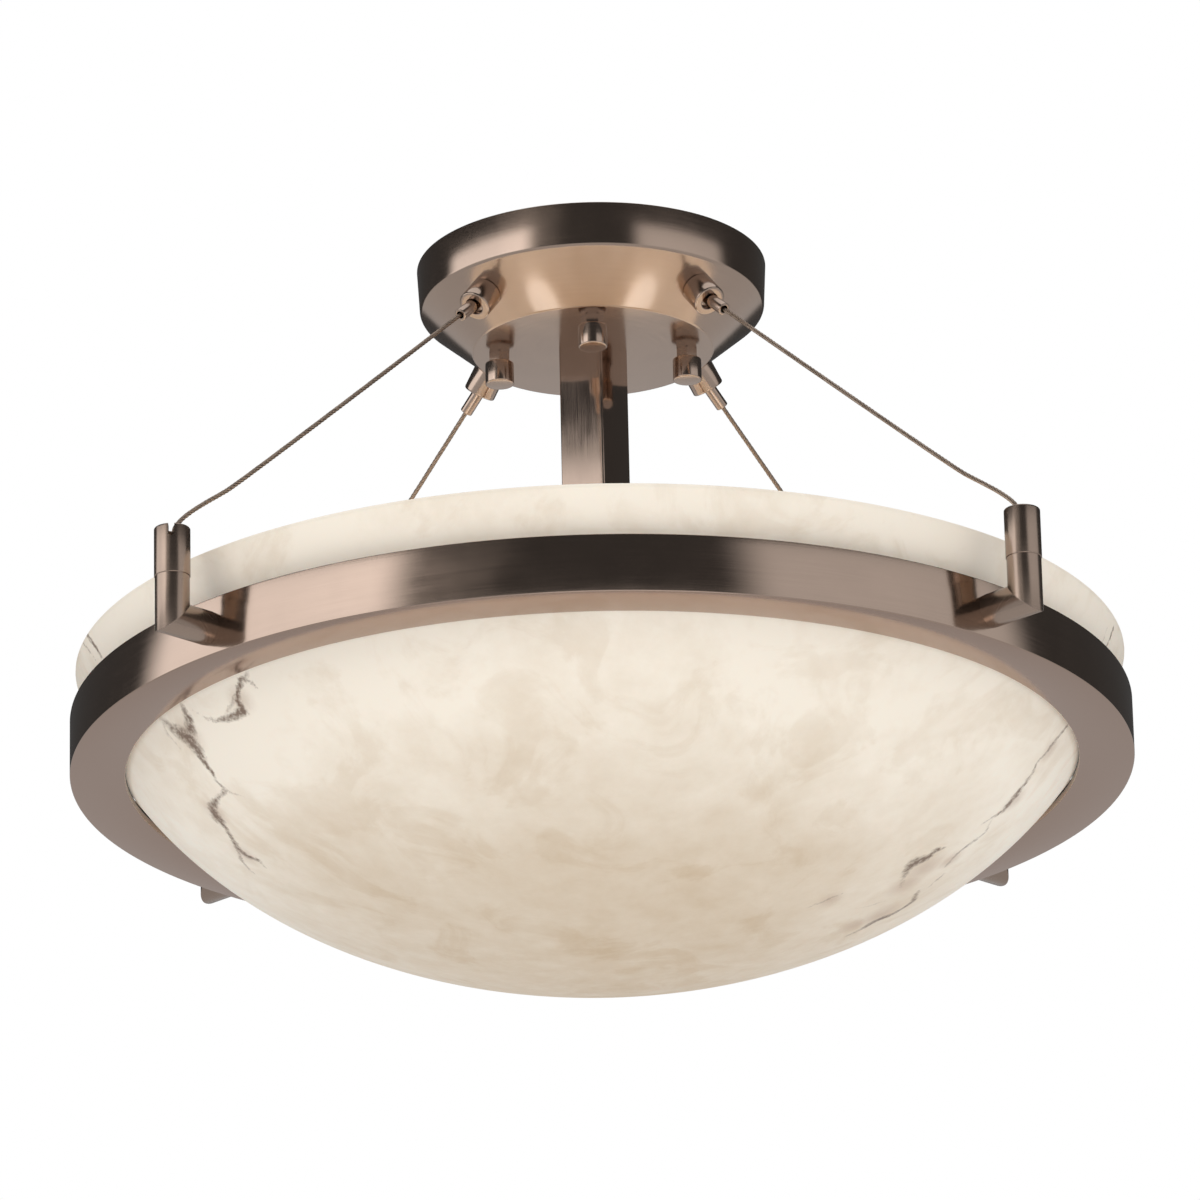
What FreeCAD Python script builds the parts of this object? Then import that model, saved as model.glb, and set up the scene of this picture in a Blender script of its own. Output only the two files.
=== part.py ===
import FreeCAD, Part
import Sketcher
import math
import os
import re

# Semi flush ceiling light: a stone-look bowl that rests in a metal ring, hung by
# four wire ropes from grippers on a ceiling canopy, with three lamps in the bowl.
#
# Millimetres, +Z up. The origin is the middle of the ceiling plane, where the
# canopy's rim and the mounting plate meet the ceiling, so every height is negative.
# A round piece is drawn about its own Z axis and then stood in its place.

doc = FreeCAD.newDocument("CeilingLight")
dims = doc.addObject("Spreadsheet::Sheet", "dims")

SIZES = {
    # canopy: a spun pan with a straight side, a cone and a flat disc
    "canopy_rim_radius": 77.5,
    "canopy_edge_radius": 76.4,
    "canopy_side_height": 19.6,
    "canopy_disc_radius": 53.2,
    "canopy_depth": 39.3,
    "canopy_wall": 1.6,
    # mounting plate on the ceiling box
    "plate_radius": 52.0,
    "plate_thickness": 2.5,
    "plate_wire_hole_radius": 15.0,
    "box_screw_circle_radius": 44.45,
    "box_screw_hole_radius": 2.4,
    "ground_screw_offset": 26.0,
    "ground_screw_radius": 2.4,
    "ground_head_radius": 4.2,
    "ground_head_height": 2.6,
    "ground_screw_length": 7.0,
    # studs and nuts that hold the canopy up
    "stud_circle_radius": 41.5,
    "stud_radius": 2.08,
    "thread_gap": 0.04,
    "thread_end_gap": 0.5,
    "stud_hole_gap": 0.35,
    "nut_flats": 8.8,
    "lock_nut_height": 3.0,
    "canopy_nut_height": 4.6,
    "cap_nut_radius": 6.35,
    "cap_nut_height": 10.0,
    "cap_nut_bore_depth": 7.5,
    "cap_nut_chamfer": 0.5,
    # square stem with a plug at each end
    "stem_side": 22.2,
    "stem_wall": 1.4,
    "stem_length": 172.0,
    "stem_turn": 58.0,
    "plug_height": 10.0,
    "plug_gap": 0.05,
    "nipple_radius": 5.1,
    "nipple_bore_radius": 3.4,
    "nipple_plug_depth": 9.0,
    "stem_nut_flats": 17.0,
    "stem_nut_height": 4.5,
    "washer_radius": 11.0,
    "washer_thickness": 1.2,
    "nipple_end_length": 2.0,
    # lamp cluster below the stem
    "hub_flats": 48.5,
    "hub_wall": 2.3,
    "hub_height": 28.0,
    "hub_top_thickness": 3.0,
    "hub_cover_thickness": 1.6,
    "hub_nut_flats": 15.0,
    "hub_nut_height": 4.0,
    "wire_window_width": 5.2,
    "wire_window_length": 14.0,
    "finial_radius": 7.0,
    "finial_height": 9.0,
    "finial_bore_depth": 6.0,
    "socket_radius": 17.5,
    "socket_length": 41.0,
    "socket_bore_radius": 13.9,
    "socket_bore_depth": 27.0,
    "socket_neck_radius": 5.0,
    "socket_wire_radius": 3.0,
    "socket_neck_spare": 1.0,
    "socket_nut_flats": 14.0,
    "socket_nut_height": 2.6,
    "shell_thickness": 0.6,
    "shell_length": 24.0,
    "lamp_base_radius": 13.1,
    "lamp_base_length": 25.0,
    "lamp_base_taper": 4.0,
    "lamp_contact_radius": 5.0,
    "lamp_radius": 30.0,
    "lamp_neck_radius": 13.6,
    "lamp_glass_length": 82.0,
    "lamp_glass_wall": 1.0,
    # ring
    "ring_radius": 231.0,
    "ring_width": 24.0,
    "ring_height": 25.0,
    "ring_wall": 3.0,
    "ring_flange": 3.2,
    "ring_drop": 237.8,
    # bowl: an ellipsoid of revolution, open at the top, as wide as its seat in the ring asks
    "bowl_half_depth": 165.6,
    "bowl_centre_rise": 80.0,
    "bowl_rim_rise": 48.0,
    "bowl_wall": 4.5,
    "bowl_seat_gap": 0.57,
    "gasket_width": 7.0,
    "gasket_thickness": 2.6,
    "soft_gap": 0.42,
    # posts on the ring
    "post_offset": 19.0,
    "post_radius": 7.3,
    "sleeve_radius": 7.6,
    "sleeve_rise": 30.4,
    "post_rise": 52.0,
    "sleeve_edge": 0.9,
    "sleeve_top": 3.0,
    "rope_hole_radius": 2.8,
    "slot_width": 2.6,
    "slot_depth": 4.4,
    "sleeve_cavity_radius": 5.6,
    "ferrule_radius": 4.2,
    "ferrule_length": 8.0,
    "ferrule_drop": 5.0,
    "sleeve_stud_radius": 4.0,
    "sleeve_stud_length": 12.0,
    "sleeve_stud_rise": 5.8,
    "post_screw_radius": 2.4,
    "post_screw_length": 13.0,
    "post_head_radius": 4.3,
    "post_head_height": 3.0,
    "post_bore_spare": 1.0,
    "curved_seat_gap": 0.12,
    # wire ropes
    "rope_radius": 1.0,
    "rope_tail": 22.0,
    # rope grippers on the canopy's cone
    "gripper_seat_radius": 65.6,
    "barrel_radius": 7.2,
    "barrel_length": 11.4,
    "barrel_edge": 0.7,
    "barrel_end_wall": 2.0,
    "barrel_mouth_radius": 3.95,
    "barrel_cavity_radius": 5.1,
    "barrel_thread_radius": 6.3,
    "barrel_thread_length": 6.6,
    "barrel_floor": 1.5,
    "barrel_tail_radius": 3.8,
    "thread_hole_gap": 0.2,
    "gripper_nut_flats": 17.0,
    "gripper_nut_height": 3.0,
    "gripper_nut_gap": 0.5,
    "head_radius": 4.6,
    "head_half_thickness": 2.0,
    "head_rise": 6.6,
    "nozzle_radius": 2.8,
    "nozzle_bore_radius": 1.7,
    "nozzle_length": 15.4,
    "nozzle_edge": 0.4,
    "nozzle_travel": 2.0,
    "spring_radius": 4.8,
    "spring_thickness": 0.9,
    "spring_gap": 0.2,
}
for row, (alias, value) in enumerate(SIZES.items(), start=1):
    dims.set(f"A{row}", alias.replace("_", " "))
    dims.set(f"B{row}", str(value))
    dims.setAlias(f"B{row}", alias)
doc.recompute()

# Four corners carry the ropes; the studs stand between them.
CORNERS = {"front_left": 225, "front_right": 315, "rear_right": 45, "rear_left": 135}
STUD_AZIMUTHS = (0, 90, 180, 270)
BOX_SCREW_AZIMUTHS = (45, 225)
LAMP_AZIMUTHS = {"lamp_rear": 90, "lamp_left": 210, "lamp_right": 330}
GROUND_SCREW_AZIMUTH = 315
# The hub nipple's slot faces the front, between the left and the right lamp.
WIRE_WINDOW_AZIMUTH = 270
# The slot in each sleeve's top, turned from the outward direction as it was tightened.
SLOT_TURNS = {"front_left": 45, "front_right": 180, "rear_right": 180, "rear_left": 180}
# Where each rope bends before its post: distances inwards from and above the post's top.
ROPE_BENDS = ((38.0, 29.8), (22.0, 18.6), (11.0, 10.6), (4.0, 4.3), (0.0, -1.5))

# Values that several pieces share, worked out from the sheet.
RING_BOTTOM = "(-ring_drop)"
RING_INNER = "(ring_radius - ring_width)"
FLANGE_TOP = "(-ring_drop + ring_flange)"
ARM_HEIGHT = "(-ring_drop + ring_height / 2)"
POST_TOP = "(-ring_drop + post_rise)"
SLEEVE_BOTTOM = "(-ring_drop + sleeve_rise)"
BOWL_CENTRE = "(-ring_drop + bowl_centre_rise)"
BOWL_HALF_WIDTH = (f"(({RING_INNER} - bowl_seat_gap)"
                   f" / sqrt(1 - (({FLANGE_TOP} - {BOWL_CENTRE}) / bowl_half_depth) ^ 2))")
POST_CIRCLE = "(ring_radius + post_offset)"
CONE_RUN = "(canopy_edge_radius - canopy_disc_radius)"
CONE_DROP = "(canopy_depth - canopy_side_height)"
CONE_ANGLE = f"(atan({CONE_DROP} / {CONE_RUN}) / 1 deg)"
SEAT_HEIGHT = (f"(-canopy_side_height - (canopy_edge_radius - gripper_seat_radius)"
               f" * {CONE_DROP} / {CONE_RUN})")
BARREL_LEAN = f"(180 - {CONE_ANGLE})"
HEAD_X = f"(gripper_seat_radius + head_rise * sin({CONE_ANGLE}))"
HEAD_Z = f"({SEAT_HEIGHT} - head_rise * cos({CONE_ANGLE}))"
ROPE_X = f"({POST_CIRCLE} - {ROPE_BENDS[0][0]})"
ROPE_Z = f"({POST_TOP} + {ROPE_BENDS[0][1]})"
ROPE_ANGLE = f"(atan(({HEAD_Z} - {ROPE_Z}) / ({ROPE_X} - {HEAD_X})) / 1 deg)"
ROPE_LEAN = f"(90 + {ROPE_ANGLE})"
STEM_BOTTOM = "(-canopy_depth - stem_length)"
STEM_BORE = "(stem_side - 2 * stem_wall)"
HUB_BOTTOM = f"({STEM_BOTTOM} - hub_height)"
LAMP_HEIGHT = f"({STEM_BOTTOM} - hub_height / 2)"
SOCKET_MOUTH = "(hub_flats / 2 + socket_length)"


def cells(text):
    """Point the size names in an expression at the sheet's cells."""
    return re.sub(r"[a-z_]{3,}", lambda m: "dims." + m.group() if m.group() in SIZES else m.group(), text)


def number(text):
    """The present value of an expression of the sheet's sizes."""
    value = dims.evalExpression(cells(text))
    return float(getattr(value, "Value", value))


def bind(item, **sizes):
    for name, text in sizes.items():
        item.setExpression(name, cells(text))
    return item


def stand(item, x="0", z="0", azimuth=0, lean="0"):
    """Stand an item at a distance from the lamp's axis, a height and an azimuth."""
    base = f"create(<<vector>>; ({x}) * cos({azimuth}); ({x}) * sin({azimuth}); {z})"
    turn = f"create(<<rotation>>; {azimuth}; {lean}; 0)"
    return bind(item, Placement=f"create(<<placement>>; {base}; {turn})")


def cylinder(name, radius, height):
    return bind(doc.addObject("Part::Cylinder", name), Radius=radius, Height=height)


def hexagon(name, flats, height):
    prism = doc.addObject("Part::Prism", name)
    prism.Polygon = 6
    return bind(prism, Circumradius=f"({flats}) / sqrt(3)", Height=height)


def cut(name, base, *tools):
    item = doc.addObject("Part::Cut", name)
    item.Base = base
    item.Tool = tools[0] if len(tools) == 1 else fuse(name + "_tools", *tools)
    return item


def fuse(name, *items):
    item = doc.addObject("Part::MultiFuse", name)
    item.Shapes = list(items)
    return item


def group(name, items):
    item = doc.addObject("Part::Compound", name)
    item.Links = list(items)
    return item


def sketch_on(body, role, name):
    sketch = body.newObject("Sketcher::SketchObject", name)
    plane = [item for item in body.Origin.OriginFeatures if item.Role == role][0]
    sketch.AttachmentSupport = (plane, [""])
    sketch.MapMode = "FlatFace"
    return sketch


def outline(sketch, corners):
    """Draw a closed outline whose corners are bound to the sheet."""
    points = [FreeCAD.Vector(number(x), number(y), 0) for x, y in corners]
    count = len(points)
    for i in range(count):
        sketch.addGeometry(Part.LineSegment(points[i], points[(i + 1) % count]), False)
    for i in range(count):
        sketch.addConstraint(Sketcher.Constraint("Coincident", i, 2, (i + 1) % count, 1))
    for i, corner in enumerate(corners):
        for kind, text in zip(("DistanceX", "DistanceY"), corner):
            index = sketch.addConstraint(Sketcher.Constraint(kind, -1, 1, i, 1, number(text)))
            sketch.setExpression(f"Constraints[{index}]", cells(text))


def turned(name, corners):
    """A round piece turned about its own Z axis; corners are (radius, height)."""
    body = doc.addObject("PartDesign::Body", name)
    sketch = sketch_on(body, "XZ_Plane", name + "_profile")
    outline(sketch, corners)
    turn = body.newObject("PartDesign::Revolution", name + "_turn")
    turn.Profile = sketch
    turn.ReferenceAxis = (sketch, ["V_Axis"])
    turn.Angle = 360
    return body


def tube(name, radius, bore, height):
    return turned(name, ((bore, "0"), (radius, "0"), (radius, height), (bore, height)))


def nut(name, flats, bore, height):
    return cut(name, hexagon(name + "_hex", flats, height), cylinder(name + "_bore", bore, height))


# ---- mounting plate ----

def mounting_plate():
    disc = stand(cylinder("plate_disc", "plate_radius", "plate_thickness"), z="-plate_thickness")
    holes = [stand(cylinder("plate_wire_hole", "plate_wire_hole_radius", "plate_thickness"),
                   z="-plate_thickness")]
    for azimuth in STUD_AZIMUTHS:
        hole = cylinder(f"plate_stud_hole_{azimuth}", "stud_radius + thread_gap", "plate_thickness")
        holes.append(stand(hole, "stud_circle_radius", "-plate_thickness", azimuth))
    for azimuth in BOX_SCREW_AZIMUTHS:
        hole = cylinder(f"box_screw_hole_{azimuth}", "box_screw_hole_radius", "plate_thickness")
        holes.append(stand(hole, "box_screw_circle_radius", "-plate_thickness", azimuth))
    hole = cylinder("ground_hole", "ground_screw_radius + thread_gap", "plate_thickness")
    holes.append(stand(hole, "ground_screw_offset", "-plate_thickness", GROUND_SCREW_AZIMUTH))
    return cut("mounting_plate", disc, *holes)


def ground_screw():
    screw = turned("ground_screw", (
        ("0", "0"), ("ground_screw_radius", "0"), ("ground_screw_radius", "-ground_screw_length"),
        ("ground_head_radius", "-ground_screw_length"),
        ("ground_head_radius", "-ground_screw_length - ground_head_height"),
        ("0", "-ground_screw_length - ground_head_height")))
    # the shank stops level with the top of the plate, with a loop of wire's room under it
    return stand(screw, "ground_screw_offset", "0", GROUND_SCREW_AZIMUTH)


def canopy_studs():
    length = "canopy_depth + canopy_nut_height + cap_nut_bore_depth - thread_end_gap"
    studs = []
    for azimuth in STUD_AZIMUTHS:
        stud = cylinder(f"stud_{azimuth}", "stud_radius", length)
        studs.append(stand(stud, "stud_circle_radius", f"-({length})", azimuth))
    return group("canopy_studs", studs)


def nuts_on_studs(name, height, top):
    nuts = []
    for azimuth in STUD_AZIMUTHS:
        one = nut(f"{name}_{azimuth}", "nut_flats", "stud_radius + thread_gap", height)
        nuts.append(stand(one, "stud_circle_radius", f"{top} - {height}", azimuth))
    return group(name, nuts)


def cap_nuts():
    nuts = []
    bore = "stud_radius + thread_gap"
    for azimuth in STUD_AZIMUTHS:
        one = turned(f"cap_nut_{azimuth}", (
            (bore, "0"), ("cap_nut_radius", "0"),
            ("cap_nut_radius", "-cap_nut_height + cap_nut_chamfer"),
            ("cap_nut_radius - cap_nut_chamfer", "-cap_nut_height"), ("0", "-cap_nut_height"),
            ("0", "-cap_nut_bore_depth"), (bore, "-cap_nut_bore_depth")))
        nuts.append(stand(one, "stud_circle_radius", "-canopy_depth - canopy_nut_height", azimuth))
    return group("cap_nuts", nuts)


# ---- canopy ----

def canopy():
    side_turn = f"tan((90 - {CONE_ANGLE}) / 2)"
    disc_turn = f"tan({CONE_ANGLE} / 2)"
    pan = turned("canopy_pan", (
        ("0", "-canopy_depth"), ("canopy_disc_radius", "-canopy_depth"),
        ("canopy_edge_radius", "-canopy_side_height"), ("canopy_rim_radius", "0"),
        ("canopy_rim_radius - canopy_wall", "0"),
        ("canopy_edge_radius - canopy_wall", f"-canopy_side_height + canopy_wall * {side_turn}"),
        (f"canopy_disc_radius - canopy_wall * {disc_turn}", "-canopy_depth + canopy_wall"),
        ("0", "-canopy_depth + canopy_wall")))
    holes = [stand(cylinder("stem_hole", "nipple_radius + thread_gap", "canopy_wall"), z="-canopy_depth")]
    for azimuth in STUD_AZIMUTHS:
        hole = cylinder(f"stud_hole_{azimuth}", "stud_radius + stud_hole_gap", "canopy_wall")
        holes.append(stand(hole, "stud_circle_radius", "-canopy_depth", azimuth))
    for azimuth in CORNERS.values():
        depth = "(2 * canopy_wall)"
        hole = cylinder(f"gripper_hole_{azimuth}", "barrel_thread_radius + thread_hole_gap", f"2 * {depth}")
        holes.append(stand(hole, f"gripper_seat_radius - {depth} * sin({CONE_ANGLE})",
                           f"{SEAT_HEIGHT} + {depth} * cos({CONE_ANGLE})", azimuth, BARREL_LEAN))
    return cut("canopy", pan, *holes)


# ---- stem ----

def square(name, side, height):
    prism = doc.addObject("Part::Prism", name)
    prism.Polygon = 4
    return bind(prism, Circumradius=f"({side}) / sqrt(2)", Height=height)


def stem():
    tube_outside = square("stem_outside", "stem_side", "stem_length")
    tube_inside = square("stem_inside", STEM_BORE, "stem_length")
    tube_wall = cut("stem", tube_outside, tube_inside)
    return turn_stem(tube_wall, STEM_BOTTOM)


def turn_stem(item, z):
    # a prism's first corner lies on its X axis, so 45 degrees sets its sides square
    turn = "create(<<rotation>>; 45 + stem_turn; 0; 0)"
    return bind(item, Placement=f"create(<<placement>>; create(<<vector>>; 0; 0; {z}); {turn})")


def stem_plug(name, z):
    block = square(name + "_block", f"{STEM_BORE} - 2 * plug_gap", "plug_height")
    bore = cylinder(name + "_bore", "nipple_radius + thread_gap", "plug_height")
    return turn_stem(cut(name, block, bore), z)


def stem_fixings():
    """The nipple that joins canopy and stem, with its washer and nut above the disc."""
    inside = "(-canopy_depth + canopy_wall)"
    grip = "(canopy_wall + washer_thickness + stem_nut_height + nipple_end_length)"
    nipple = tube("stem_nipple", "nipple_radius", "nipple_bore_radius", f"nipple_plug_depth + {grip}")
    stand(nipple, z="-canopy_depth - nipple_plug_depth")
    washer = tube("stem_washer", "washer_radius", "nipple_radius + thread_gap", "washer_thickness")
    stand(washer, z=inside)
    lock = nut("stem_nut", "stem_nut_flats", "nipple_radius + thread_gap", "stem_nut_height")
    stand(lock, z=f"{inside} + washer_thickness")
    return [nipple, washer, lock]


# ---- lamp cluster ----

def hub():
    outside = hexagon("hub_outside", "hub_flats", "hub_height")
    inside = hexagon("hub_inside", "hub_flats - 2 * hub_wall", "hub_height - hub_top_thickness")
    bore = cylinder("hub_bore", "nipple_radius + thread_gap", "hub_height")
    shell = cut("hub_shell", outside, inside, bore)
    stand(shell, z=HUB_BOTTOM)
    necks = []
    for name, azimuth in LAMP_AZIMUTHS.items():
        neck = cylinder(f"hub_neck_{name}", "socket_neck_radius + thread_gap", "hub_wall")
        necks.append(stand(neck, "hub_flats / 2 - hub_wall", LAMP_HEIGHT, azimuth, "90"))
    return cut("hub", shell, *necks)


def wire_window():
    """The slot in the hub nipple's side, midway from nut to cover, that lets the wires into the hub."""
    middle = f"(({STEM_BOTTOM} - hub_top_thickness - hub_nut_height + {HUB_BOTTOM}) / 2)"
    straight = "(wire_window_length - wire_window_width)"
    slot = bind(doc.addObject("Part::Box", "wire_window_slot"), Length="2 * nipple_radius",
                Width="wire_window_width", Height=straight)
    base = (f"create(<<vector>>; wire_window_width / 2 * sin({WIRE_WINDOW_AZIMUTH});"
            f" -wire_window_width / 2 * cos({WIRE_WINDOW_AZIMUTH}); {middle} - {straight} / 2)")
    turn = f"create(<<rotation>>; {WIRE_WINDOW_AZIMUTH}; 0; 0)"
    bind(slot, Placement=f"create(<<placement>>; {base}; {turn})")
    ends = []
    for name, sign in (("top", "+"), ("bottom", "-")):
        end = cylinder(f"wire_window_{name}", "wire_window_width / 2", "2 * nipple_radius")
        ends.append(stand(end, z=f"{middle} {sign} {straight} / 2", azimuth=WIRE_WINDOW_AZIMUTH,
                          lean="90"))
    return [slot] + ends


def hub_fixings():
    """The nipple through the hub, the nut under the hub's top, the cover and its finial."""
    reach = "(hub_height + hub_cover_thickness + finial_bore_depth - thread_end_gap)"
    pipe = tube("hub_nipple_tube", "nipple_radius", "nipple_bore_radius", f"nipple_plug_depth + {reach}")
    stand(pipe, z=f"{STEM_BOTTOM} - {reach}")
    nipple = cut("hub_nipple", pipe, *wire_window())
    lock = nut("hub_nut", "hub_nut_flats", "nipple_radius + thread_gap", "hub_nut_height")
    stand(lock, z=f"{STEM_BOTTOM} - hub_top_thickness - hub_nut_height")
    plate = hexagon("hub_cover_plate", "hub_flats", "hub_cover_thickness")
    bore = cylinder("hub_cover_bore", "nipple_radius + thread_gap", "hub_cover_thickness")
    cover = stand(cut("hub_cover", plate, bore), z=f"{HUB_BOTTOM} - hub_cover_thickness")
    finial = turned("hub_finial", (
        ("nipple_radius + thread_gap", "0"), ("finial_radius", "0"),
        ("finial_radius", "-finial_height / 2"), ("finial_radius / 2", "-finial_height"),
        ("0", "-finial_height"), ("0", "-finial_bore_depth"),
        ("nipple_radius + thread_gap", "-finial_bore_depth")))
    stand(finial, z=f"{HUB_BOTTOM} - hub_cover_thickness")
    return [nipple, lock, cover, finial]


def socket(name, azimuth):
    """A porcelain lampholder; its neck passes through the hub's wall to a nut inside."""
    floor = "(socket_length - socket_bore_depth)"
    neck = "(hub_wall + socket_nut_height + socket_neck_spare)"
    body = turned(name + "_socket", (
        ("socket_wire_radius", f"-{neck}"), ("socket_neck_radius", f"-{neck}"),
        ("socket_neck_radius", "0"), ("socket_radius", "0"), ("socket_radius", "socket_length"),
        ("socket_bore_radius", "socket_length"), ("socket_bore_radius", floor),
        ("socket_wire_radius", floor)))
    stand(body, "hub_flats / 2", LAMP_HEIGHT, azimuth, "90")
    shell = tube(name + "_shell", "socket_bore_radius - thread_gap",
                 "socket_bore_radius - shell_thickness", "shell_length")
    stand(shell, f"hub_flats / 2 + {floor} + thread_end_gap", LAMP_HEIGHT, azimuth, "90")
    lock = nut(f"{name}_socket_nut", "socket_nut_flats", "socket_neck_radius + thread_gap",
               "socket_nut_height")
    stand(lock, "hub_flats / 2 - hub_wall - socket_nut_height", LAMP_HEIGHT, azimuth, "90")
    return body, shell, lock


def lamp_base(name, azimuth):
    base = turned(name + "_base", (
        ("0", "-lamp_base_length"), ("lamp_contact_radius", "-lamp_base_length"),
        ("lamp_base_radius", "-lamp_base_length + lamp_base_taper"),
        ("lamp_base_radius", "0"), ("0", "0")))
    return stand(base, SOCKET_MOUTH, LAMP_HEIGHT, azimuth, "90")


def envelope(name, radius, neck_radius, floor):
    """A lamp's outline: a ball and the cone that meets it smoothly at the neck."""
    centre = "(lamp_glass_length - lamp_radius)"
    reach = f"sqrt({centre} ^ 2 + {neck_radius} ^ 2)"
    flare = f"((asin({radius} / {reach}) - atan({neck_radius} / {centre})) / 1 deg)"
    run = f"(sqrt({centre} ^ 2 + {neck_radius} ^ 2 - {radius} ^ 2) * cos({flare}))"
    ball = stand(bind(doc.addObject("Part::Sphere", name + "_ball"), Radius=radius), z=centre)
    cone = bind(doc.addObject("Part::Cone", name + "_cone"), Radius1=neck_radius,
                Radius2=f"{radius} * cos({flare})", Height=run)
    if floor:
        collar = stand(cylinder(name + "_mouth", neck_radius, floor), z=f"-{floor}")
        return fuse(name, ball, cone, collar)
    return fuse(name, ball, cone)


def lamp_glass(name, azimuth):
    outside = envelope(name + "_outside", "lamp_radius", "lamp_neck_radius", "")
    inside = envelope(name + "_inside", "(lamp_radius - lamp_glass_wall)",
                      "(lamp_neck_radius - lamp_glass_wall)", "lamp_glass_wall")
    return stand(cut(name + "_glass", outside, inside), SOCKET_MOUTH, LAMP_HEIGHT, azimuth, "90")


# ---- ring, gasket and bowl ----

def bowl_radius_at(height):
    """The bowl's outer radius at a height, by the ellipse's own formula."""
    return f"({BOWL_HALF_WIDTH} * sqrt(1 - (({height} - {BOWL_CENTRE}) / bowl_half_depth) ^ 2))"


def ring():
    band = turned("ring_band", (
        (RING_INNER, RING_BOTTOM), ("ring_radius", RING_BOTTOM),
        ("ring_radius", f"{RING_BOTTOM} + ring_height"),
        ("ring_radius - ring_wall", f"{RING_BOTTOM} + ring_height"),
        ("ring_radius - ring_wall", FLANGE_TOP), (RING_INNER, FLANGE_TOP)))
    holes = []
    for azimuth in CORNERS.values():
        hole = cylinder(f"post_screw_hole_{azimuth}", "post_screw_radius + thread_gap", "2 * ring_wall")
        holes.append(stand(hole, "ring_radius - 1.5 * ring_wall", ARM_HEIGHT, azimuth, "90"))
    return cut("ring", band, *holes)


def ring_gasket():
    """A soft ring on the flange, sloped inside to follow the bowl that sits on it."""
    top = f"({FLANGE_TOP} + gasket_thickness)"
    return turned("ring_gasket", (
        (RING_INNER, FLANGE_TOP), (f"{RING_INNER} + gasket_width", FLANGE_TOP),
        (f"{RING_INNER} + gasket_width", top), (f"{bowl_radius_at(top)} + soft_gap", top)))


def bowl_profile_edge(half_width, half_depth, centre, rim):
    """Half an ellipse's arc in the XZ plane, from the bottom of the bowl to its rim."""
    ellipse = Part.Ellipse(FreeCAD.Vector(0, 0, 0), half_width, half_depth)
    arc = Part.ArcOfEllipse(ellipse, -math.pi / 2, math.asin((rim - centre) / half_depth)).toBSpline()
    # its lowest point is set exactly on the bowl's axis, so that the turned solid closes there
    arc.setPole(1, FreeCAD.Vector(0, -half_depth, 0))
    edge = arc.toShape()
    edge.rotate(FreeCAD.Vector(0, 0, 0), FreeCAD.Vector(1, 0, 0), 90)
    edge.translate(FreeCAD.Vector(0, 0, centre))
    return edge


def bowl():
    centre = number(BOWL_CENTRE)
    rim = number(f"{RING_BOTTOM} + bowl_rim_rise")
    half_width = number(BOWL_HALF_WIDTH)
    half_depth = number("bowl_half_depth")
    wall = number("bowl_wall")
    outside = bowl_profile_edge(half_width, half_depth, centre, rim)
    inside = bowl_profile_edge(half_width - wall, half_depth - wall, centre, rim)
    rim_line = Part.LineSegment(outside.Vertexes[-1].Point, inside.Vertexes[-1].Point).toShape()
    axis_line = Part.LineSegment(inside.Vertexes[0].Point, outside.Vertexes[0].Point).toShape()
    section = Part.Face(Part.Wire(Part.__sortEdges__([outside, rim_line, inside, axis_line])))
    item = doc.addObject("Part::Feature", "bowl")
    item.Shape = section.revolve(FreeCAD.Vector(0, 0, 0), FreeCAD.Vector(0, 0, 1), 360)
    return item


# ---- posts ----

def post(corner, azimuth):
    """A mitred elbow: an upright and an arm that reaches in to the ring's side."""
    name = "post_" + corner
    run = "(2 * post_radius)"
    upright = cylinder(name + "_upright", "post_radius", f"{SLEEVE_BOTTOM} - {ARM_HEIGHT} + {run}")
    stand(upright, POST_CIRCLE, f"{ARM_HEIGHT} - {run}", azimuth)
    arm = cylinder(name + "_arm", "post_radius", f"post_offset + ring_wall + {run}")
    stand(arm, "ring_radius - ring_wall", ARM_HEIGHT, azimuth, "90")
    inner_side = cylinder(name + "_inner_side", "6 * post_radius", "6 * post_radius")
    stand(inner_side, POST_CIRCLE, ARM_HEIGHT, azimuth, "225")
    outer_side = cylinder(name + "_outer_side", "6 * post_radius", "6 * post_radius")
    stand(outer_side, POST_CIRCLE, ARM_HEIGHT, azimuth, "45")
    elbow = fuse(name + "_elbow", cut(name + "_upright_mitred", upright, inner_side),
                 cut(name + "_arm_mitred", arm, outer_side))
    ring_face = stand(cylinder(name + "_cope", "ring_radius", "3 * ring_height"),
                      z=f"{RING_BOTTOM} - ring_height")
    depth = "(sleeve_stud_length - sleeve_stud_rise + thread_end_gap)"
    stud_bore = cylinder(name + "_stud_bore", "sleeve_stud_radius + thread_gap", depth)
    stand(stud_bore, POST_CIRCLE, f"{SLEEVE_BOTTOM} - {depth}", azimuth)
    screw_bore = cylinder(name + "_screw_bore", "post_screw_radius + thread_gap",
                          "post_screw_length + post_bore_spare")
    stand(screw_bore, "ring_radius - ring_wall", ARM_HEIGHT, azimuth, "90")
    return cut(name, elbow, ring_face, stud_bore, screw_bore)


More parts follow.
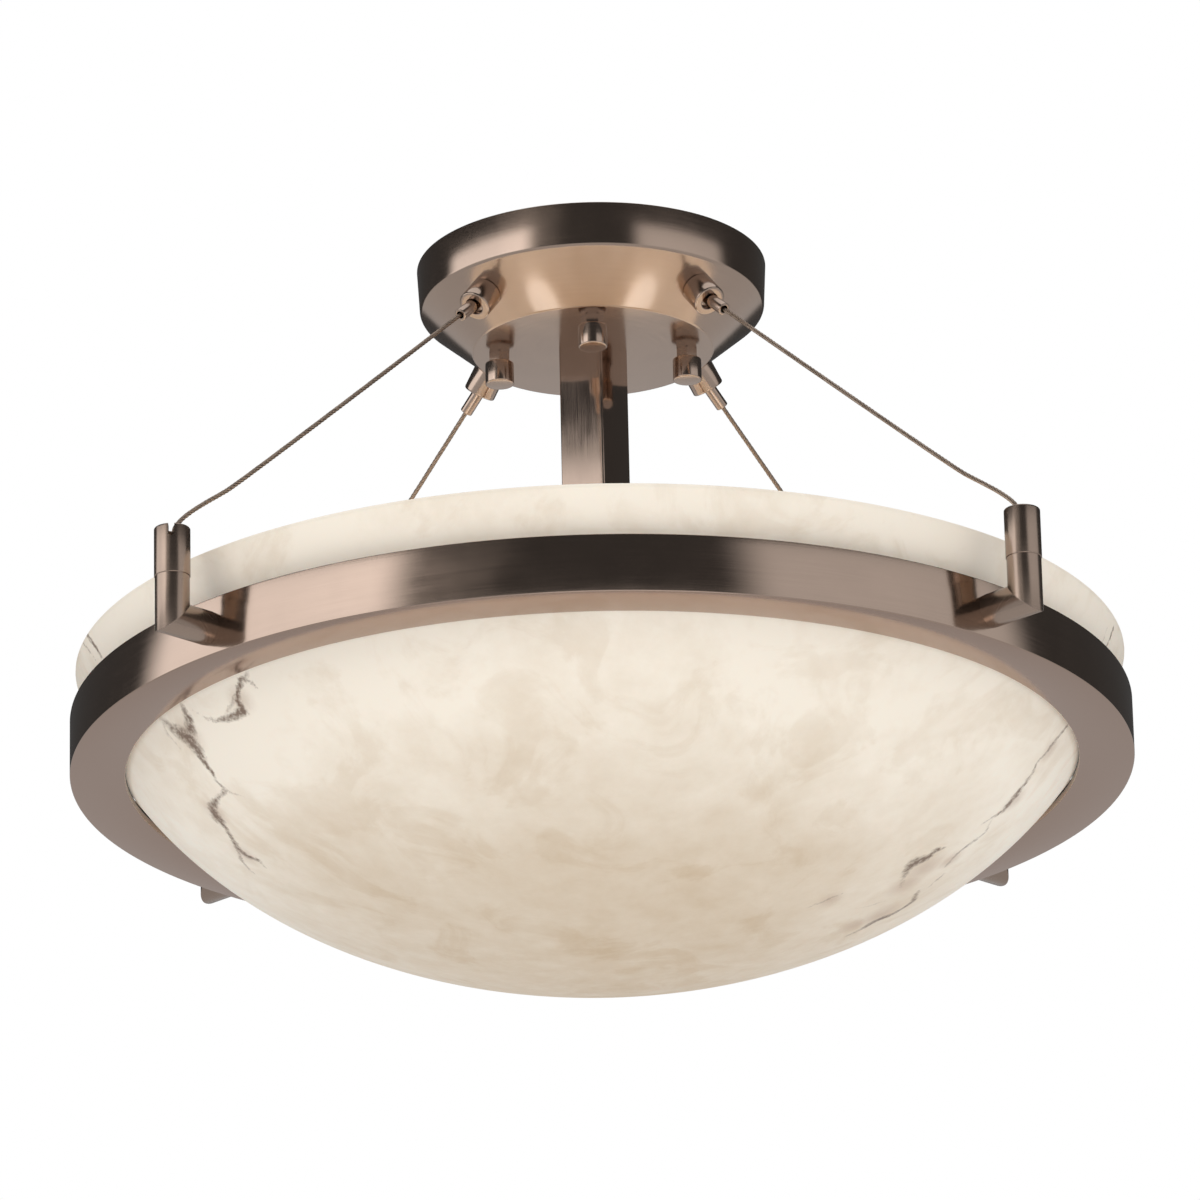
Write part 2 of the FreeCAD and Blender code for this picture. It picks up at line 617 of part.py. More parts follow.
def sleeve(corner, azimuth):
    """The screwed-on top of a post, slotted so that the rope's ferrule can drop in."""
    name = "sleeve_" + corner
    length = "(post_rise - sleeve_rise)"
    thread_top = "(sleeve_stud_rise + thread_end_gap)"
    body = turned(name + "_body", (
        ("sleeve_stud_radius + thread_gap", "0"), ("sleeve_radius", "0"),
        ("sleeve_radius", f"{length} - sleeve_edge"), ("sleeve_radius - sleeve_edge", length),
        ("rope_hole_radius", length), ("rope_hole_radius", f"{length} - sleeve_top"),
        ("sleeve_cavity_radius", f"{length} - sleeve_top"), ("sleeve_cavity_radius", thread_top),
        ("sleeve_stud_radius + thread_gap", thread_top)))
    slot = bind(doc.addObject("Part::Box", name + "_slot"), Length="2 * sleeve_radius",
                Width="slot_width", Height="slot_depth")
    slot_end = cylinder(name + "_slot_end", "slot_width / 2", "2 * sleeve_radius")
    stand(slot_end, z=f"{length} - slot_depth", lean="90")
    bind(slot, Placement="create(<<placement>>; create(<<vector>>; 0; -slot_width / 2; "
                         f"{length} - slot_depth); create(<<rotation>>; 0; 0; 0))")
    slotted = cut(name, body, slot, slot_end)
    turn = azimuth + SLOT_TURNS[corner]
    base = f"create(<<vector>>; {POST_CIRCLE} * cos({azimuth}); {POST_CIRCLE} * sin({azimuth})"
    return bind(slotted, Placement=f"create(<<placement>>; {base}; {SLEEVE_BOTTOM}); "
                                   f"create(<<rotation>>; {turn}; 0; 0))")


def sleeve_studs():
    studs = []
    for corner, azimuth in CORNERS.items():
        stud = cylinder(f"sleeve_stud_{corner}", "sleeve_stud_radius", "sleeve_stud_length")
        studs.append(stand(stud, POST_CIRCLE,
                           f"{SLEEVE_BOTTOM} - sleeve_stud_length + sleeve_stud_rise", azimuth))
    return group("sleeve_studs", studs)


def post_screws():
    """Button head screws inside the ring that hold the posts' arms."""
    screws = []
    for corner, azimuth in CORNERS.items():
        screw = turned(f"post_screw_{corner}", (
            ("0", "-post_head_height"), ("post_head_radius", "-post_head_height"),
            ("post_head_radius", "0"), ("post_screw_radius", "0"),
            ("post_screw_radius", "post_screw_length"), ("0", "post_screw_length")))
        screws.append(stand(screw, "ring_radius - ring_wall - curved_seat_gap", ARM_HEIGHT, azimuth, "90"))
    return group("post_screws", screws)


def rope_ferrules():
    ferrules = []
    for corner, azimuth in CORNERS.items():
        one = tube(f"ferrule_{corner}", "ferrule_radius", "rope_radius + thread_gap", "ferrule_length")
        ferrules.append(stand(one, POST_CIRCLE, f"{POST_TOP} - ferrule_drop - ferrule_length",
                              azimuth))
    return group("rope_ferrules", ferrules)


# ---- grippers ----

def barrel(corner, azimuth):
    """The gripper's body: a nut inside the canopy holds it square to the cone."""
    name = "gripper_barrel_" + corner
    back = "(-barrel_thread_length)"
    body = turned(name, (
        ("barrel_tail_radius", back), ("barrel_thread_radius", back), ("barrel_thread_radius", "0"),
        ("barrel_radius", "0"), ("barrel_radius", "barrel_length - barrel_edge"),
        ("barrel_radius - barrel_edge", "barrel_length"), ("barrel_mouth_radius", "barrel_length"),
        ("barrel_mouth_radius", "barrel_length - barrel_end_wall"),
        ("barrel_cavity_radius", "barrel_length - barrel_end_wall"),
        ("barrel_cavity_radius", f"{back} + barrel_floor"),
        ("barrel_tail_radius", f"{back} + barrel_floor")))
    return stand(body, "gripper_seat_radius", SEAT_HEIGHT, azimuth, BARREL_LEAN)


def gripper_nuts():
    nuts = []
    back = "(canopy_wall + gripper_nut_gap + gripper_nut_height)"
    for corner, azimuth in CORNERS.items():
        one = nut(f"gripper_nut_{corner}", "gripper_nut_flats", "barrel_thread_radius + thread_gap",
                  "gripper_nut_height")
        nuts.append(stand(one, f"gripper_seat_radius - {back} * sin({CONE_ANGLE})",
                          f"{SEAT_HEIGHT} + {back} * cos({CONE_ANGLE})", azimuth, BARREL_LEAN))
    return group("gripper_nuts", nuts)


def nozzle(corner, azimuth):
    """The release plunger: a tube on a rounded head, in line with its rope."""
    tip = "nozzle_length"
    face = "sqrt(head_radius ^ 2 - head_half_thickness ^ 2)"
    body = turned("gripper_nozzle_" + corner, (
        ("nozzle_bore_radius", "-head_half_thickness"), (face, "-head_half_thickness"),
        ("head_radius", "0"), (face, "head_half_thickness"),
        ("nozzle_radius", "head_half_thickness"), ("nozzle_radius", f"{tip} - nozzle_edge"),
        ("nozzle_radius - nozzle_edge", tip), ("nozzle_bore_radius", tip)))
    return stand(body, HEAD_X, HEAD_Z, azimuth, ROPE_LEAN)


def gripper_springs():
    """Each spring at its pressed length, as a plain tube of the coil's outer size."""
    springs = []
    floor = "(-barrel_thread_length + barrel_floor)"
    # the pressed head leans on the barrel's axis, so its back reaches lower on one side
    head_back = (f"(head_rise - head_half_thickness - nozzle_travel - spring_gap"
                 f" - head_radius * sin({BARREL_LEAN} - {ROPE_LEAN}))")
    for corner, azimuth in CORNERS.items():
        one = tube(f"spring_{corner}", "spring_radius", "spring_radius - spring_thickness",
                   f"{head_back} - {floor}")
        springs.append(stand(one, f"gripper_seat_radius + {floor} * sin({CONE_ANGLE})",
                             f"{SEAT_HEIGHT} - {floor} * cos({CONE_ANGLE})", azimuth, BARREL_LEAN))
    return group("gripper_springs", springs)


# ---- wire ropes ----

def rope_route():
    """The rope's points in its own upright plane, from inside the canopy to its ferrule."""
    head = FreeCAD.Vector(number(HEAD_X), 0, number(HEAD_Z))
    post_x = number(POST_CIRCLE)
    top = number(POST_TOP)
    bends = [FreeCAD.Vector(post_x - inwards, 0, top + above) for inwards, above in ROPE_BENDS]
    tail = head + (head - bends[0]).normalize() * number("rope_tail")
    end = FreeCAD.Vector(post_x, 0, top - number("ferrule_drop + ferrule_length"))
    return [tail] + bends + [end]


def rounded_path(points, name):
    """Straight runs joined by tangent arcs, each as large as its two runs allow."""
    edges = []
    start = points[0]
    radii = []
    for before, corner, after in zip(points, points[1:], points[2:]):
        back = before - corner
        ahead = after - corner
        half_turn = (math.pi - back.getAngle(ahead)) / 2
        reach = 0.45 * min(back.Length, ahead.Length)
        radii.append(reach / math.tan(half_turn))
        arc_start = corner + FreeCAD.Vector(back).normalize() * reach
        arc_end = corner + FreeCAD.Vector(ahead).normalize() * reach
        bisector = (FreeCAD.Vector(back).normalize() + FreeCAD.Vector(ahead).normalize()).normalize()
        to_middle = radii[-1] / math.cos(half_turn) - radii[-1]
        edges.append(Part.LineSegment(start, arc_start).toShape())
        edges.append(Part.Arc(arc_start, corner + bisector * to_middle, arc_end).toShape())
        start = arc_end
    edges.append(Part.LineSegment(start, points[-1]).toShape())
    print(name, "bend radii", [round(radius, 1) for radius in radii])
    return Part.Wire(edges)


def rope(corner, azimuth):
    name = "rope_" + corner
    route = rope_route()
    path = rounded_path(route, name)
    radius = number("rope_radius")
    circle = Part.Circle(route[0], route[1] - route[0], radius).toShape()
    solid = path.makePipeShell([Part.Wire(circle)], True, False)
    expected = math.pi * radius ** 2 * path.Length
    print(name, "length", round(path.Length, 1), "volume ratio", round(solid.Volume / expected, 4))
    item = doc.addObject("Part::Feature", name)
    item.Shape = solid
    item.Placement = FreeCAD.Placement(FreeCAD.Vector(0, 0, 0),
                                       FreeCAD.Rotation(FreeCAD.Vector(0, 0, 1), azimuth))
    return item


# ---- assembly ----

pieces = [mounting_plate(), ground_screw(), canopy_studs()]
pieces.append(nuts_on_studs("stud_lock_nuts", "lock_nut_height", "-plate_thickness"))
pieces.append(canopy())
pieces.append(nuts_on_studs("canopy_nuts", "canopy_nut_height", "-canopy_depth"))
pieces.append(cap_nuts())

pieces.append(stem())
pieces.append(stem_plug("stem_top_plug", "-canopy_depth - plug_height"))
pieces.append(stem_plug("stem_bottom_plug", STEM_BOTTOM))
pieces += stem_fixings()

pieces.append(hub())
pieces += hub_fixings()
socket_nuts = []
for lamp, lamp_azimuth in LAMP_AZIMUTHS.items():
    socket_body, socket_shell, socket_nut = socket(lamp, lamp_azimuth)
    pieces += [socket_body, socket_shell, lamp_base(lamp, lamp_azimuth), lamp_glass(lamp, lamp_azimuth)]
    socket_nuts.append(socket_nut)
pieces.append(group("socket_nuts", socket_nuts))

pieces += [ring(), ring_gasket(), bowl()]
for corner_name, corner_azimuth in CORNERS.items():
    pieces.append(post(corner_name, corner_azimuth))
    pieces.append(sleeve(corner_name, corner_azimuth))
    pieces.append(barrel(corner_name, corner_azimuth))
    pieces.append(nozzle(corner_name, corner_azimuth))
    pieces.append(rope(corner_name, corner_azimuth))
pieces += [sleeve_studs(), post_screws(), rope_ferrules(), gripper_nuts(), gripper_springs()]

doc.recompute()
for item in doc.Objects:
    if {"Invalid", "Error"} & set(item.State):
        raise RuntimeError(f"{item.Name} failed: {item.State}")
for piece in pieces:
    if piece.Shape.isNull() or not piece.Shape.isValid():
        raise RuntimeError(f"{piece.Name} has no valid shape")

os.makedirs("parts", exist_ok=True)
for piece in pieces:
    piece.Shape.exportStep(f"parts/{piece.Label}.step")
print(len(pieces), "nodes written")
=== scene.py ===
"""Dresses a semi flush ceiling light: a bowl in a metal ring, hung on four wire ropes.

Lengths are in metres in the CAD model's own frame: the ceiling is at height zero, and the
light hangs below it with its axis upright.
"""

import math

import bmesh
import bpy
from bpy.props import FloatProperty, FloatVectorProperty, IntProperty, PointerProperty
from mathutils import Matrix, Vector


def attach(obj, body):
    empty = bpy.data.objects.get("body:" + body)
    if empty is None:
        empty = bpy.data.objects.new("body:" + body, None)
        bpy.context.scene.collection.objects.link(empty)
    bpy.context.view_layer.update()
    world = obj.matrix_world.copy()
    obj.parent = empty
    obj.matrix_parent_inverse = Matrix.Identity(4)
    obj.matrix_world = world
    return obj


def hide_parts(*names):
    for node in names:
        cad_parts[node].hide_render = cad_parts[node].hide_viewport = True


bl_info = {
    "name": "Semi Flush Ceiling Light",
    "version": (1, 0, 0),
    "blender": (4, 5, 0),
    "location": "3D View > Sidebar > Ceiling Light",
    "description": "Builds the metalwork, ropes and bowl of a rope-hung ceiling light",
    "category": "Object",
}

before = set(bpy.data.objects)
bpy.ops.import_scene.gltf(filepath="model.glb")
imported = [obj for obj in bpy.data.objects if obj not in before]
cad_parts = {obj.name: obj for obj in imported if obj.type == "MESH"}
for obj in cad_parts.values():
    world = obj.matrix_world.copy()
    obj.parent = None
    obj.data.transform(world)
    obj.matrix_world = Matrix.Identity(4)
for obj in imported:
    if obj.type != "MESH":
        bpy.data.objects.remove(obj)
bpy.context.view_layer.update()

CORNERS = {"front_left": 225.0, "front_right": 315.0, "rear_right": 45.0, "rear_left": 135.0}
STUD_AZIMUTHS = (0.0, 90.0, 180.0, 270.0)
SLOT_TURNS = {"front_left": 45.0, "front_right": 180.0, "rear_right": 180.0, "rear_left": 180.0}


# ---- sizes and colours ----

def metres(name, default, description, precision=2):
    return FloatProperty(name=name, description=description, default=default, unit="LENGTH",
                         precision=precision)


def degrees(name, default, description):
    return FloatProperty(name=name, description=description, default=math.radians(default), subtype="ANGLE")


def tint(name, default, description):
    return FloatVectorProperty(name=name, description=description, default=default, subtype="COLOR")


class CanopySizes(bpy.types.PropertyGroup):
    rim_radius: metres("Rim Radius", 0.0775, "Where the pan meets the ceiling")
    edge_radius: metres("Edge Radius", 0.0764, "Where the side turns into the cone")
    side_height: metres("Side Height", 0.0196, "Height of the pan's straight side")
    disc_radius: metres("Disc Radius", 0.0532, "Radius of the flat disc")
    depth: metres("Depth", 0.0393, "Depth of the pan below the ceiling")
    wall: metres("Wall", 0.0016, "Thickness of the spun metal")
    edge_rounding: metres("Edge Rounding", 0.0011, "Rounding between side and cone")
    disc_rounding: metres("Disc Rounding", 0.0007, "Rounding between cone and disc")
    stud_circle: metres("Stud Circle", 0.0415, "Radius of the circle of studs")
    nut_flats: metres("Nut Flats", 0.0088, "Width across a canopy nut's flats")
    nut_height: metres("Nut Height", 0.0046, "Height of a canopy nut")
    cap_radius: metres("Cap Nut Radius", 0.00635, "Radius of a cap nut")
    cap_height: metres("Cap Nut Height", 0.010, "Height of a cap nut")


class StemSizes(bpy.types.PropertyGroup):
    side: metres("Side", 0.0222, "Width of the square tube")
    wall: metres("Wall", 0.0014, "Thickness of the tube's wall")
    length: metres("Length", 0.172, "Length of the tube")
    corner: metres("Corner", 0.0009, "Rounding of the tube's corners")
    turn: degrees("Turn", 103.0, "Turn of the tube about its axis")


class RingSizes(bpy.types.PropertyGroup):
    radius: metres("Radius", 0.231, "Outer radius of the ring")
    width: metres("Width", 0.024, "Reach of the flange under the bowl")
    height: metres("Height", 0.025, "Height of the band")
    wall: metres("Wall", 0.003, "Thickness of the band")
    flange: metres("Flange", 0.0032, "Thickness of the flange")
    bottom: metres("Bottom", -0.2378, "Height of the ring's underside")
    rounding: metres("Rounding", 0.0004, "Rounding of the band's edges")


class BowlSizes(bpy.types.PropertyGroup):
    half_width: metres("Half Width", 0.23303, "Half width of the ellipsoid", 5)
    half_depth: metres("Half Depth", 0.1656, "Half depth of the ellipsoid")
    centre: metres("Centre", -0.1578, "Height of the ellipsoid's centre")
    rim: metres("Rim", -0.1898, "Height of the bowl's rim")
    wall: metres("Wall", 0.0045, "Thickness of the bowl")
    rim_rounding: metres("Rim Rounding", 0.0013, "Rounding of the rim's edges")


class PostSizes(bpy.types.PropertyGroup):
    circle: metres("Circle", 0.250, "Radius of the circle of posts")
    radius: metres("Radius", 0.0073, "Radius of a post")
    arm_height: metres("Arm Height", -0.2253, "Height of the arm's axis")
    top: metres("Top", -0.1858, "Height of the sleeve's top")
    seam: metres("Seam", -0.2074, "Height of the joint between post and sleeve")
    sleeve_radius: metres("Sleeve Radius", 0.0076, "Radius of the sleeve")
    sleeve_rounding: metres("Sleeve Rounding", 0.0008, "Rounding of the sleeve's top")
    rope_hole: metres("Rope Hole", 0.0028, "Radius of the hole for the rope")
    cavity: metres("Cavity", 0.0056, "Radius of the room for the ferrule")
    slot_width: metres("Slot Width", 0.0026, "Width of the slot in the sleeve")
    slot_depth: metres("Slot Depth", 0.0057, "Depth of the slot in the sleeve")


class GripperSizes(bpy.types.PropertyGroup):
    seat_radius: metres("Seat Radius", 0.0656, "Where a gripper stands on the cone")
    seat_height: metres("Seat Height", -0.02877, "Height of that place")
    lean: degrees("Lean", 139.664, "Angle of the barrel from upright")
    barrel_radius: metres("Barrel Radius", 0.0072, "Radius of the barrel")
    barrel_length: metres("Barrel Length", 0.0114, "Length of the barrel outside the canopy")
    barrel_rounding: metres("Barrel Rounding", 0.0009, "Rounding of the barrel's end")
    head_radius: metres("Head Radius", 0.069872, "Distance of the plunger's head from the axis", 5)
    head_height: metres("Head Height", -0.033802, "Height of the plunger's head", 5)
    rope_lean: degrees("Rope Lean", 130.688, "Angle of the plunger from upright")
    nozzle_radius: metres("Nozzle Radius", 0.0028, "Radius of the plunger's tube")
    nozzle_bore: metres("Nozzle Bore", 0.0017, "Radius of the plunger's bore")
    nozzle_length: metres("Nozzle Length", 0.0154, "Length of the plunger from its head's centre")


class RopeSizes(bpy.types.PropertyGroup):
    radius: metres("Radius", 0.001, "Radius of the rope")
    lay: metres("Lay", 0.014, "Length of one full twist")
    strands: IntProperty(name="Strands", description="Strands round the core", default=6, min=3)
    steps: IntProperty(name="Steps", description="Points along one twist", default=20, min=8)


class FinishColours(bpy.types.PropertyGroup):
    nickel: tint("Nickel", (0.45, 0.345, 0.283), "Brushed nickel")
    # Painted shade: the colour that the ring's downward faces darken to.
    nickel_painted_shade: tint("Nickel Underside", (0.40, 0.28, 0.222), "The ring's duller underside")
    steel: tint("Steel", (0.38, 0.295, 0.235), "Wire rope")
    bowl_light: tint("Bowl Light", (0.83, 0.765, 0.665), "The bowl's pale cream")
    # Used for the cream's warmer clouds, and also for the painted shade towards the bottom.
    bowl_warm: tint("Bowl Warm", (0.55, 0.42, 0.28), "The bowl's darker, warmer cream")
    vein: tint("Vein", (0.125, 0.070, 0.042), "The bowl's brown veins")


# ---- shapes ----

def stand(x=0.0, z=0.0, azimuth=0.0, lean=0.0):
    """A place out along an azimuth in degrees and up to a height, leant from upright by an angle."""
    return (Matrix.Rotation(math.radians(azimuth), 4, "Z") @ Matrix.Translation((x, 0.0, z))
            @ Matrix.Rotation(lean, 4, "Y"))


def bevelled(mesh, geometry, rounding, segments, affect="EDGES"):
    bmesh.ops.bevel(mesh, geom=geometry, offset=rounding, offset_type="OFFSET", segments=segments,
                    profile=0.5, material=-1, affect=affect)


def turned(profile, steps=96):
    """A body turned about its upright axis from corners of radius, height and rounding."""
    mesh = bmesh.new()
    corners = [mesh.verts.new((corner[0], 0.0, corner[1])) for corner in profile]
    on_axis = profile[0][0] == 0.0 and profile[-1][0] == 0.0
    outline = corners if on_axis else corners + corners[:1]
    for start, end in zip(outline, outline[1:]):
        mesh.edges.new((start, end))
    for vert, corner in zip(corners, profile):
        if len(corner) > 2:
            bevelled(mesh, [vert], corner[2], 4, "VERTICES")
    bmesh.ops.spin(mesh, geom=mesh.verts[:] + mesh.edges[:], cent=(0, 0, 0), axis=(0, 0, 1),
                   angle=math.tau, steps=steps, use_merge=True)
    bmesh.ops.remove_doubles(mesh, verts=mesh.verts[:], dist=1e-7)
    bmesh.ops.recalc_face_normals(mesh, faces=mesh.faces[:])
    return mesh


def bar(radius, bottom, top, steps):
    """A round bar, to take a hole out of a piece."""
    return turned(((0.0, bottom), (radius, bottom), (radius, top), (0.0, top)), steps)


def prism(sides, across_corners, bottom, top, rounding=0.0, segments=3):
    """An upright prism with its corners rounded where a rounding is given."""
    mesh = bmesh.new()
    bmesh.ops.create_circle(mesh, cap_ends=False, segments=sides, radius=across_corners / 2)
    if rounding:
        bevelled(mesh, mesh.verts[:], rounding, segments, "VERTICES")
    lifted(mesh, bottom)
    face = bmesh.ops.contextual_create(mesh, geom=mesh.edges[:])["faces"]
    grown = bmesh.ops.extrude_face_region(mesh, geom=face, use_keep_orig=True)["geom"]
    bmesh.ops.translate(mesh, verts=[v for v in grown if isinstance(v, bmesh.types.BMVert)],
                        vec=(0, 0, top - bottom))
    bmesh.ops.recalc_face_normals(mesh, faces=mesh.faces[:])
    return mesh


def in_scene(name, data):
    item = bpy.data.objects.new(name, data)
    bpy.context.scene.collection.objects.link(item)
    return item


def lifted(mesh, height):
    bmesh.ops.translate(mesh, verts=mesh.verts[:], vec=(0, 0, height))


def joined(*meshes):
    """Several bmeshes as one."""
    whole = bmesh.new()
    for mesh in meshes:
        data = bpy.data.meshes.new("part")
        mesh.to_mesh(data)
        whole.from_mesh(data)
        bpy.data.meshes.remove(data)
        mesh.free()
    return whole


def placed(mesh, place):
    bmesh.ops.transform(mesh, matrix=place, verts=mesh.verts[:])
    return mesh


def carved(mesh, cutter, operation="DIFFERENCE"):
    """The mesh with the cutter taken out of it, or only what the two share."""
    objects = []
    for name, source in (("carving", mesh), ("cutter", cutter)):
        item = in_scene(name, bpy.data.meshes.new(name))
        source.to_mesh(item.data)
        source.free()
        objects.append(item)
    body, tool = objects
    carve = body.modifiers.new("carve", "BOOLEAN")
    carve.operation = operation
    carve.solver = "EXACT"
    carve.object = tool
    result = bmesh.new()
    result.from_object(body, bpy.context.evaluated_depsgraph_get())
    for item in objects:
        data = item.data
        bpy.data.objects.remove(item)
        bpy.data.meshes.remove(data)
    if not result.faces:
        raise RuntimeError("a carving came out empty")
    return result


def add_piece(name, mesh, places, body, finish, replaces=(), sharp=35.0):
    """Makes the piece's object at the origin; each copy keeps its own coordinates for its grain."""
    own = mesh.verts.layers.float_vector.new("own")
    for vert in mesh.verts:
        vert[own] = vert.co
    data = bpy.data.meshes.new(name)
    mesh.to_mesh(data)
    mesh.free()
    whole = bmesh.new()
    for place in places:
        first = len(whole.verts)
        whole.from_mesh(data)
        whole.verts.ensure_lookup_table()
        bmesh.ops.transform(whole, matrix=place, verts=whole.verts[first:])
    whole.to_mesh(data)
    whole.free()
    return add_object(name, data, body, finish, replaces, sharp)


def add_object(name, data, body, finish, replaces=(), sharp=35.0):
    data.shade_smooth()
    data.set_sharp_from_angle(angle=math.radians(sharp))
    data.materials.clear()
    data.materials.append(finish)
    piece = in_scene(name, data)
    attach(piece, body)
    if replaces:
        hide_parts(*replaces)
    return piece


# ---- finishes ----

NOISE_LOW = 0.3
NOISE_HIGH = 0.7


class Graph:
    """Adds shader nodes to one tree in short calls."""

    def __init__(self, tree):
        self.tree = tree
        tree.nodes.clear()

    def add(self, kind, feeds=None, **settings):
        node = self.tree.nodes.new(kind)
        for name, value in settings.items():
            setattr(node, name, value)
        for name, value in (feeds or {}).items():
            self.feed(node.inputs[name], value)
        return node

    def feed(self, socket, value):
        if isinstance(value, bpy.types.NodeSocket):
            self.tree.links.new(value, socket)
        else:
            socket.default_value = value

    def math(self, operation, a, b=0.5, clamp=False):
        return self.add("ShaderNodeMath", {0: a, 1: b}, operation=operation, use_clamp=clamp).outputs[0]

    def times(self, a, b):
        return self.math("MULTIPLY", a, b)

    def vector(self, operation, a, b=(0, 0, 0), output=0):
        return self.add("ShaderNodeVectorMath", {0: a, 1: b}, operation=operation).outputs[output]

    def place(self):
        return self.add("ShaderNodeTexCoord").outputs["Object"]

    def height(self, place):
        return self.add("ShaderNodeSeparateXYZ", {0: place}).outputs[2]

    def scaled(self, vector, factor):
        return self.add("ShaderNodeVectorMath", {0: vector, "Scale": factor}, operation="SCALE").outputs[0]

    def noise(self, vector, scale, detail=3.0, roughness=0.5, output="Fac", distortion=0.0):
        return self.add("ShaderNodeTexNoise", {"Vector": vector, "Scale": scale, "Detail": detail,
                        "Roughness": roughness, "Distortion": distortion}).outputs[output]

    def spread(self, value, low, high, to_low=0.0, to_high=1.0, kind="SMOOTHSTEP"):
        return self.add("ShaderNodeMapRange", {"Value": value, "From Min": low, "From Max": high,
                        "To Min": to_low, "To Max": to_high}, interpolation_type=kind).outputs[0]

    def eased(self, noise, low, high):
        """The range that a noise mostly keeps to, drawn out to run from low to high."""
        return self.spread(noise, NOISE_LOW, NOISE_HIGH, low, high, "LINEAR")

    def between(self, factor, a, b):
        return self.add("ShaderNodeMix", {"Factor": factor, 2: a, 3: b}).outputs[0]

    def blended(self, factor, a, b):
        return self.add("ShaderNodeMix", {"Factor": factor, 6: a, 7: b}, data_type="RGBA").outputs[2]

    def bump(self, height, strength, distance):
        return self.add("ShaderNodeBump", {"Height": height, "Strength": strength,
                        "Distance": distance}).outputs[0]

    def surface(self, feeds):
        shader = self.add("ShaderNodeBsdfPrincipled", feeds)
        self.add("ShaderNodeOutputMaterial", {"Surface": shader.outputs[0]})
        return shader


def rgba(colour, brightness=1.0):
    return (*(min(1.0, part * brightness) for part in colour), 1.0)


def new_finish(name):
    material = bpy.data.materials.new(name)
    material.use_nodes = True
    return material, Graph(material.node_tree)


def own_or_object(graph, own):
    if own:
        return graph.add("ShaderNodeAttribute", attribute_name="own").outputs["Vector"]
    return graph.place()


def round_grain(graph, place, along=40.0, across=4200.0):
    """Brushing that runs round a turned piece: stretched along its circles."""
    parts = graph.add("ShaderNodeSeparateXYZ", {0: place})
    flat = graph.add("ShaderNodeCombineXYZ", {"X": parts.outputs[0], "Y": parts.outputs[1]}).outputs[0]
    radius = graph.vector("LENGTH", flat, output=1)
    depth = graph.math("ADD", radius, parts.outputs[2])
    return graph.add("ShaderNodeCombineXYZ", {
        "X": graph.times(parts.outputs[0], along),
        "Y": graph.times(parts.outputs[1], along),
        "Z": graph.times(depth, across)}).outputs[0]


def long_grain(graph, place, along=60.0, across=3600.0):
    """Brushing that runs along a straight piece."""
    return graph.vector("MULTIPLY", place, (across, across, along))


def metal(name, colour, grain=None, roughness=0.24, depth=0.000012, own=True, patchy=0.05,
          scale=60.0, painted_underside_shade=None):
    """A bare metal with brushed lines, faint cloudiness and a roughness that changes with both; given an
    underside colour, its downward faces darken towards that as painted shade.
    """
    material, graph = new_finish(name)
    place = own_or_object(graph, own)
    clouds = graph.noise(place, scale, 4.0)
    lines = graph.noise(grain(graph, place) if grain else place, 1.0 if grain else 900.0, 2.0)
    uneven = graph.math("ADD", graph.times(lines, 0.6), graph.times(clouds, 0.4))
    shade = graph.eased(uneven, 0.0, 1.0)
    tone = graph.blended(shade, rgba(colour, 1 - patchy), rgba(colour, 1 + patchy))
    # Faces that point down darken towards the underside colour: painted shade.
    if painted_underside_shade:
        facing = graph.height(graph.add("ShaderNodeNewGeometry").outputs["Normal"])
        tone = graph.blended(graph.spread(facing, -0.5, -0.9), tone, rgba(painted_underside_shade))
    graph.surface({"Base Color": tone, "Metallic": 1.0,
                   "Roughness": graph.math("ADD", graph.times(shade, 0.08), roughness - 0.04),
                   "Normal": graph.bump(lines, 0.35, depth)})
    return material


def nickel(kind, grain=round_grain, roughness=0.16, brightness=1.0):
    colour = [part * brightness for part in bpy.context.scene.finish_colours.nickel]
    return metal("brushed_nickel_" + kind, colour, grain, roughness)


def nickel_band():
    """The ring: a bright band brushed round it, and a darker underside that is painted shade."""
    colours = bpy.context.scene.finish_colours
    return metal("brushed_nickel_band", colours.nickel,
                 lambda graph, place: round_grain(graph, place, 30.0, 3000.0),
                 0.13, 0.00002, painted_underside_shade=tuple(colours.nickel_painted_shade))


def vein_group():
    """A stroke between two points: its strength at its middle line, nothing past its width.

    The position is handed on a nanometre off, so that a renderer works the strokes out one by one
    and doesn't run out of room for their steps.
    """
    tree = bpy.data.node_groups.new("vein stroke", "ShaderNodeTree")
    for name in ("Position", "Start", "End"):
        tree.interface.new_socket(name, in_out="INPUT", socket_type="NodeSocketVector")
    for name in ("Start Width", "End Width", "Start Strength", "End Strength"):
        tree.interface.new_socket(name, in_out="INPUT", socket_type="NodeSocketFloat")
    tree.interface.new_socket("Stroke", in_out="OUTPUT", socket_type="NodeSocketFloat")
    tree.interface.new_socket("Onward", in_out="OUTPUT", socket_type="NodeSocketVector")
    graph = Graph(tree)
    given = graph.add("NodeGroupInput").outputs
    run = graph.vector("SUBTRACT", given["End"], given["Start"])
    offset = graph.vector("SUBTRACT", given["Position"], given["Start"])
    share = graph.math("DIVIDE", graph.vector("DOT_PRODUCT", offset, run, 1),
                       graph.vector("DOT_PRODUCT", run, run, 1), clamp=True)
    away = graph.vector("LENGTH", graph.vector("SUBTRACT", offset, graph.scaled(run, share)), output=1)
    width = graph.between(share, given["Start Width"], given["End Width"])
    strength = graph.between(share, given["Start Strength"], given["End Strength"])
    stroke = graph.spread(graph.math("DIVIDE", away, width), 2.3, 0.0)
    stroke = graph.times(stroke, strength)
    onward = graph.vector("ADD", given["Position"], graph.times(stroke, 1e-9))
    graph.add("NodeGroupOutput", {"Stroke": stroke, "Onward": onward})
    return tree
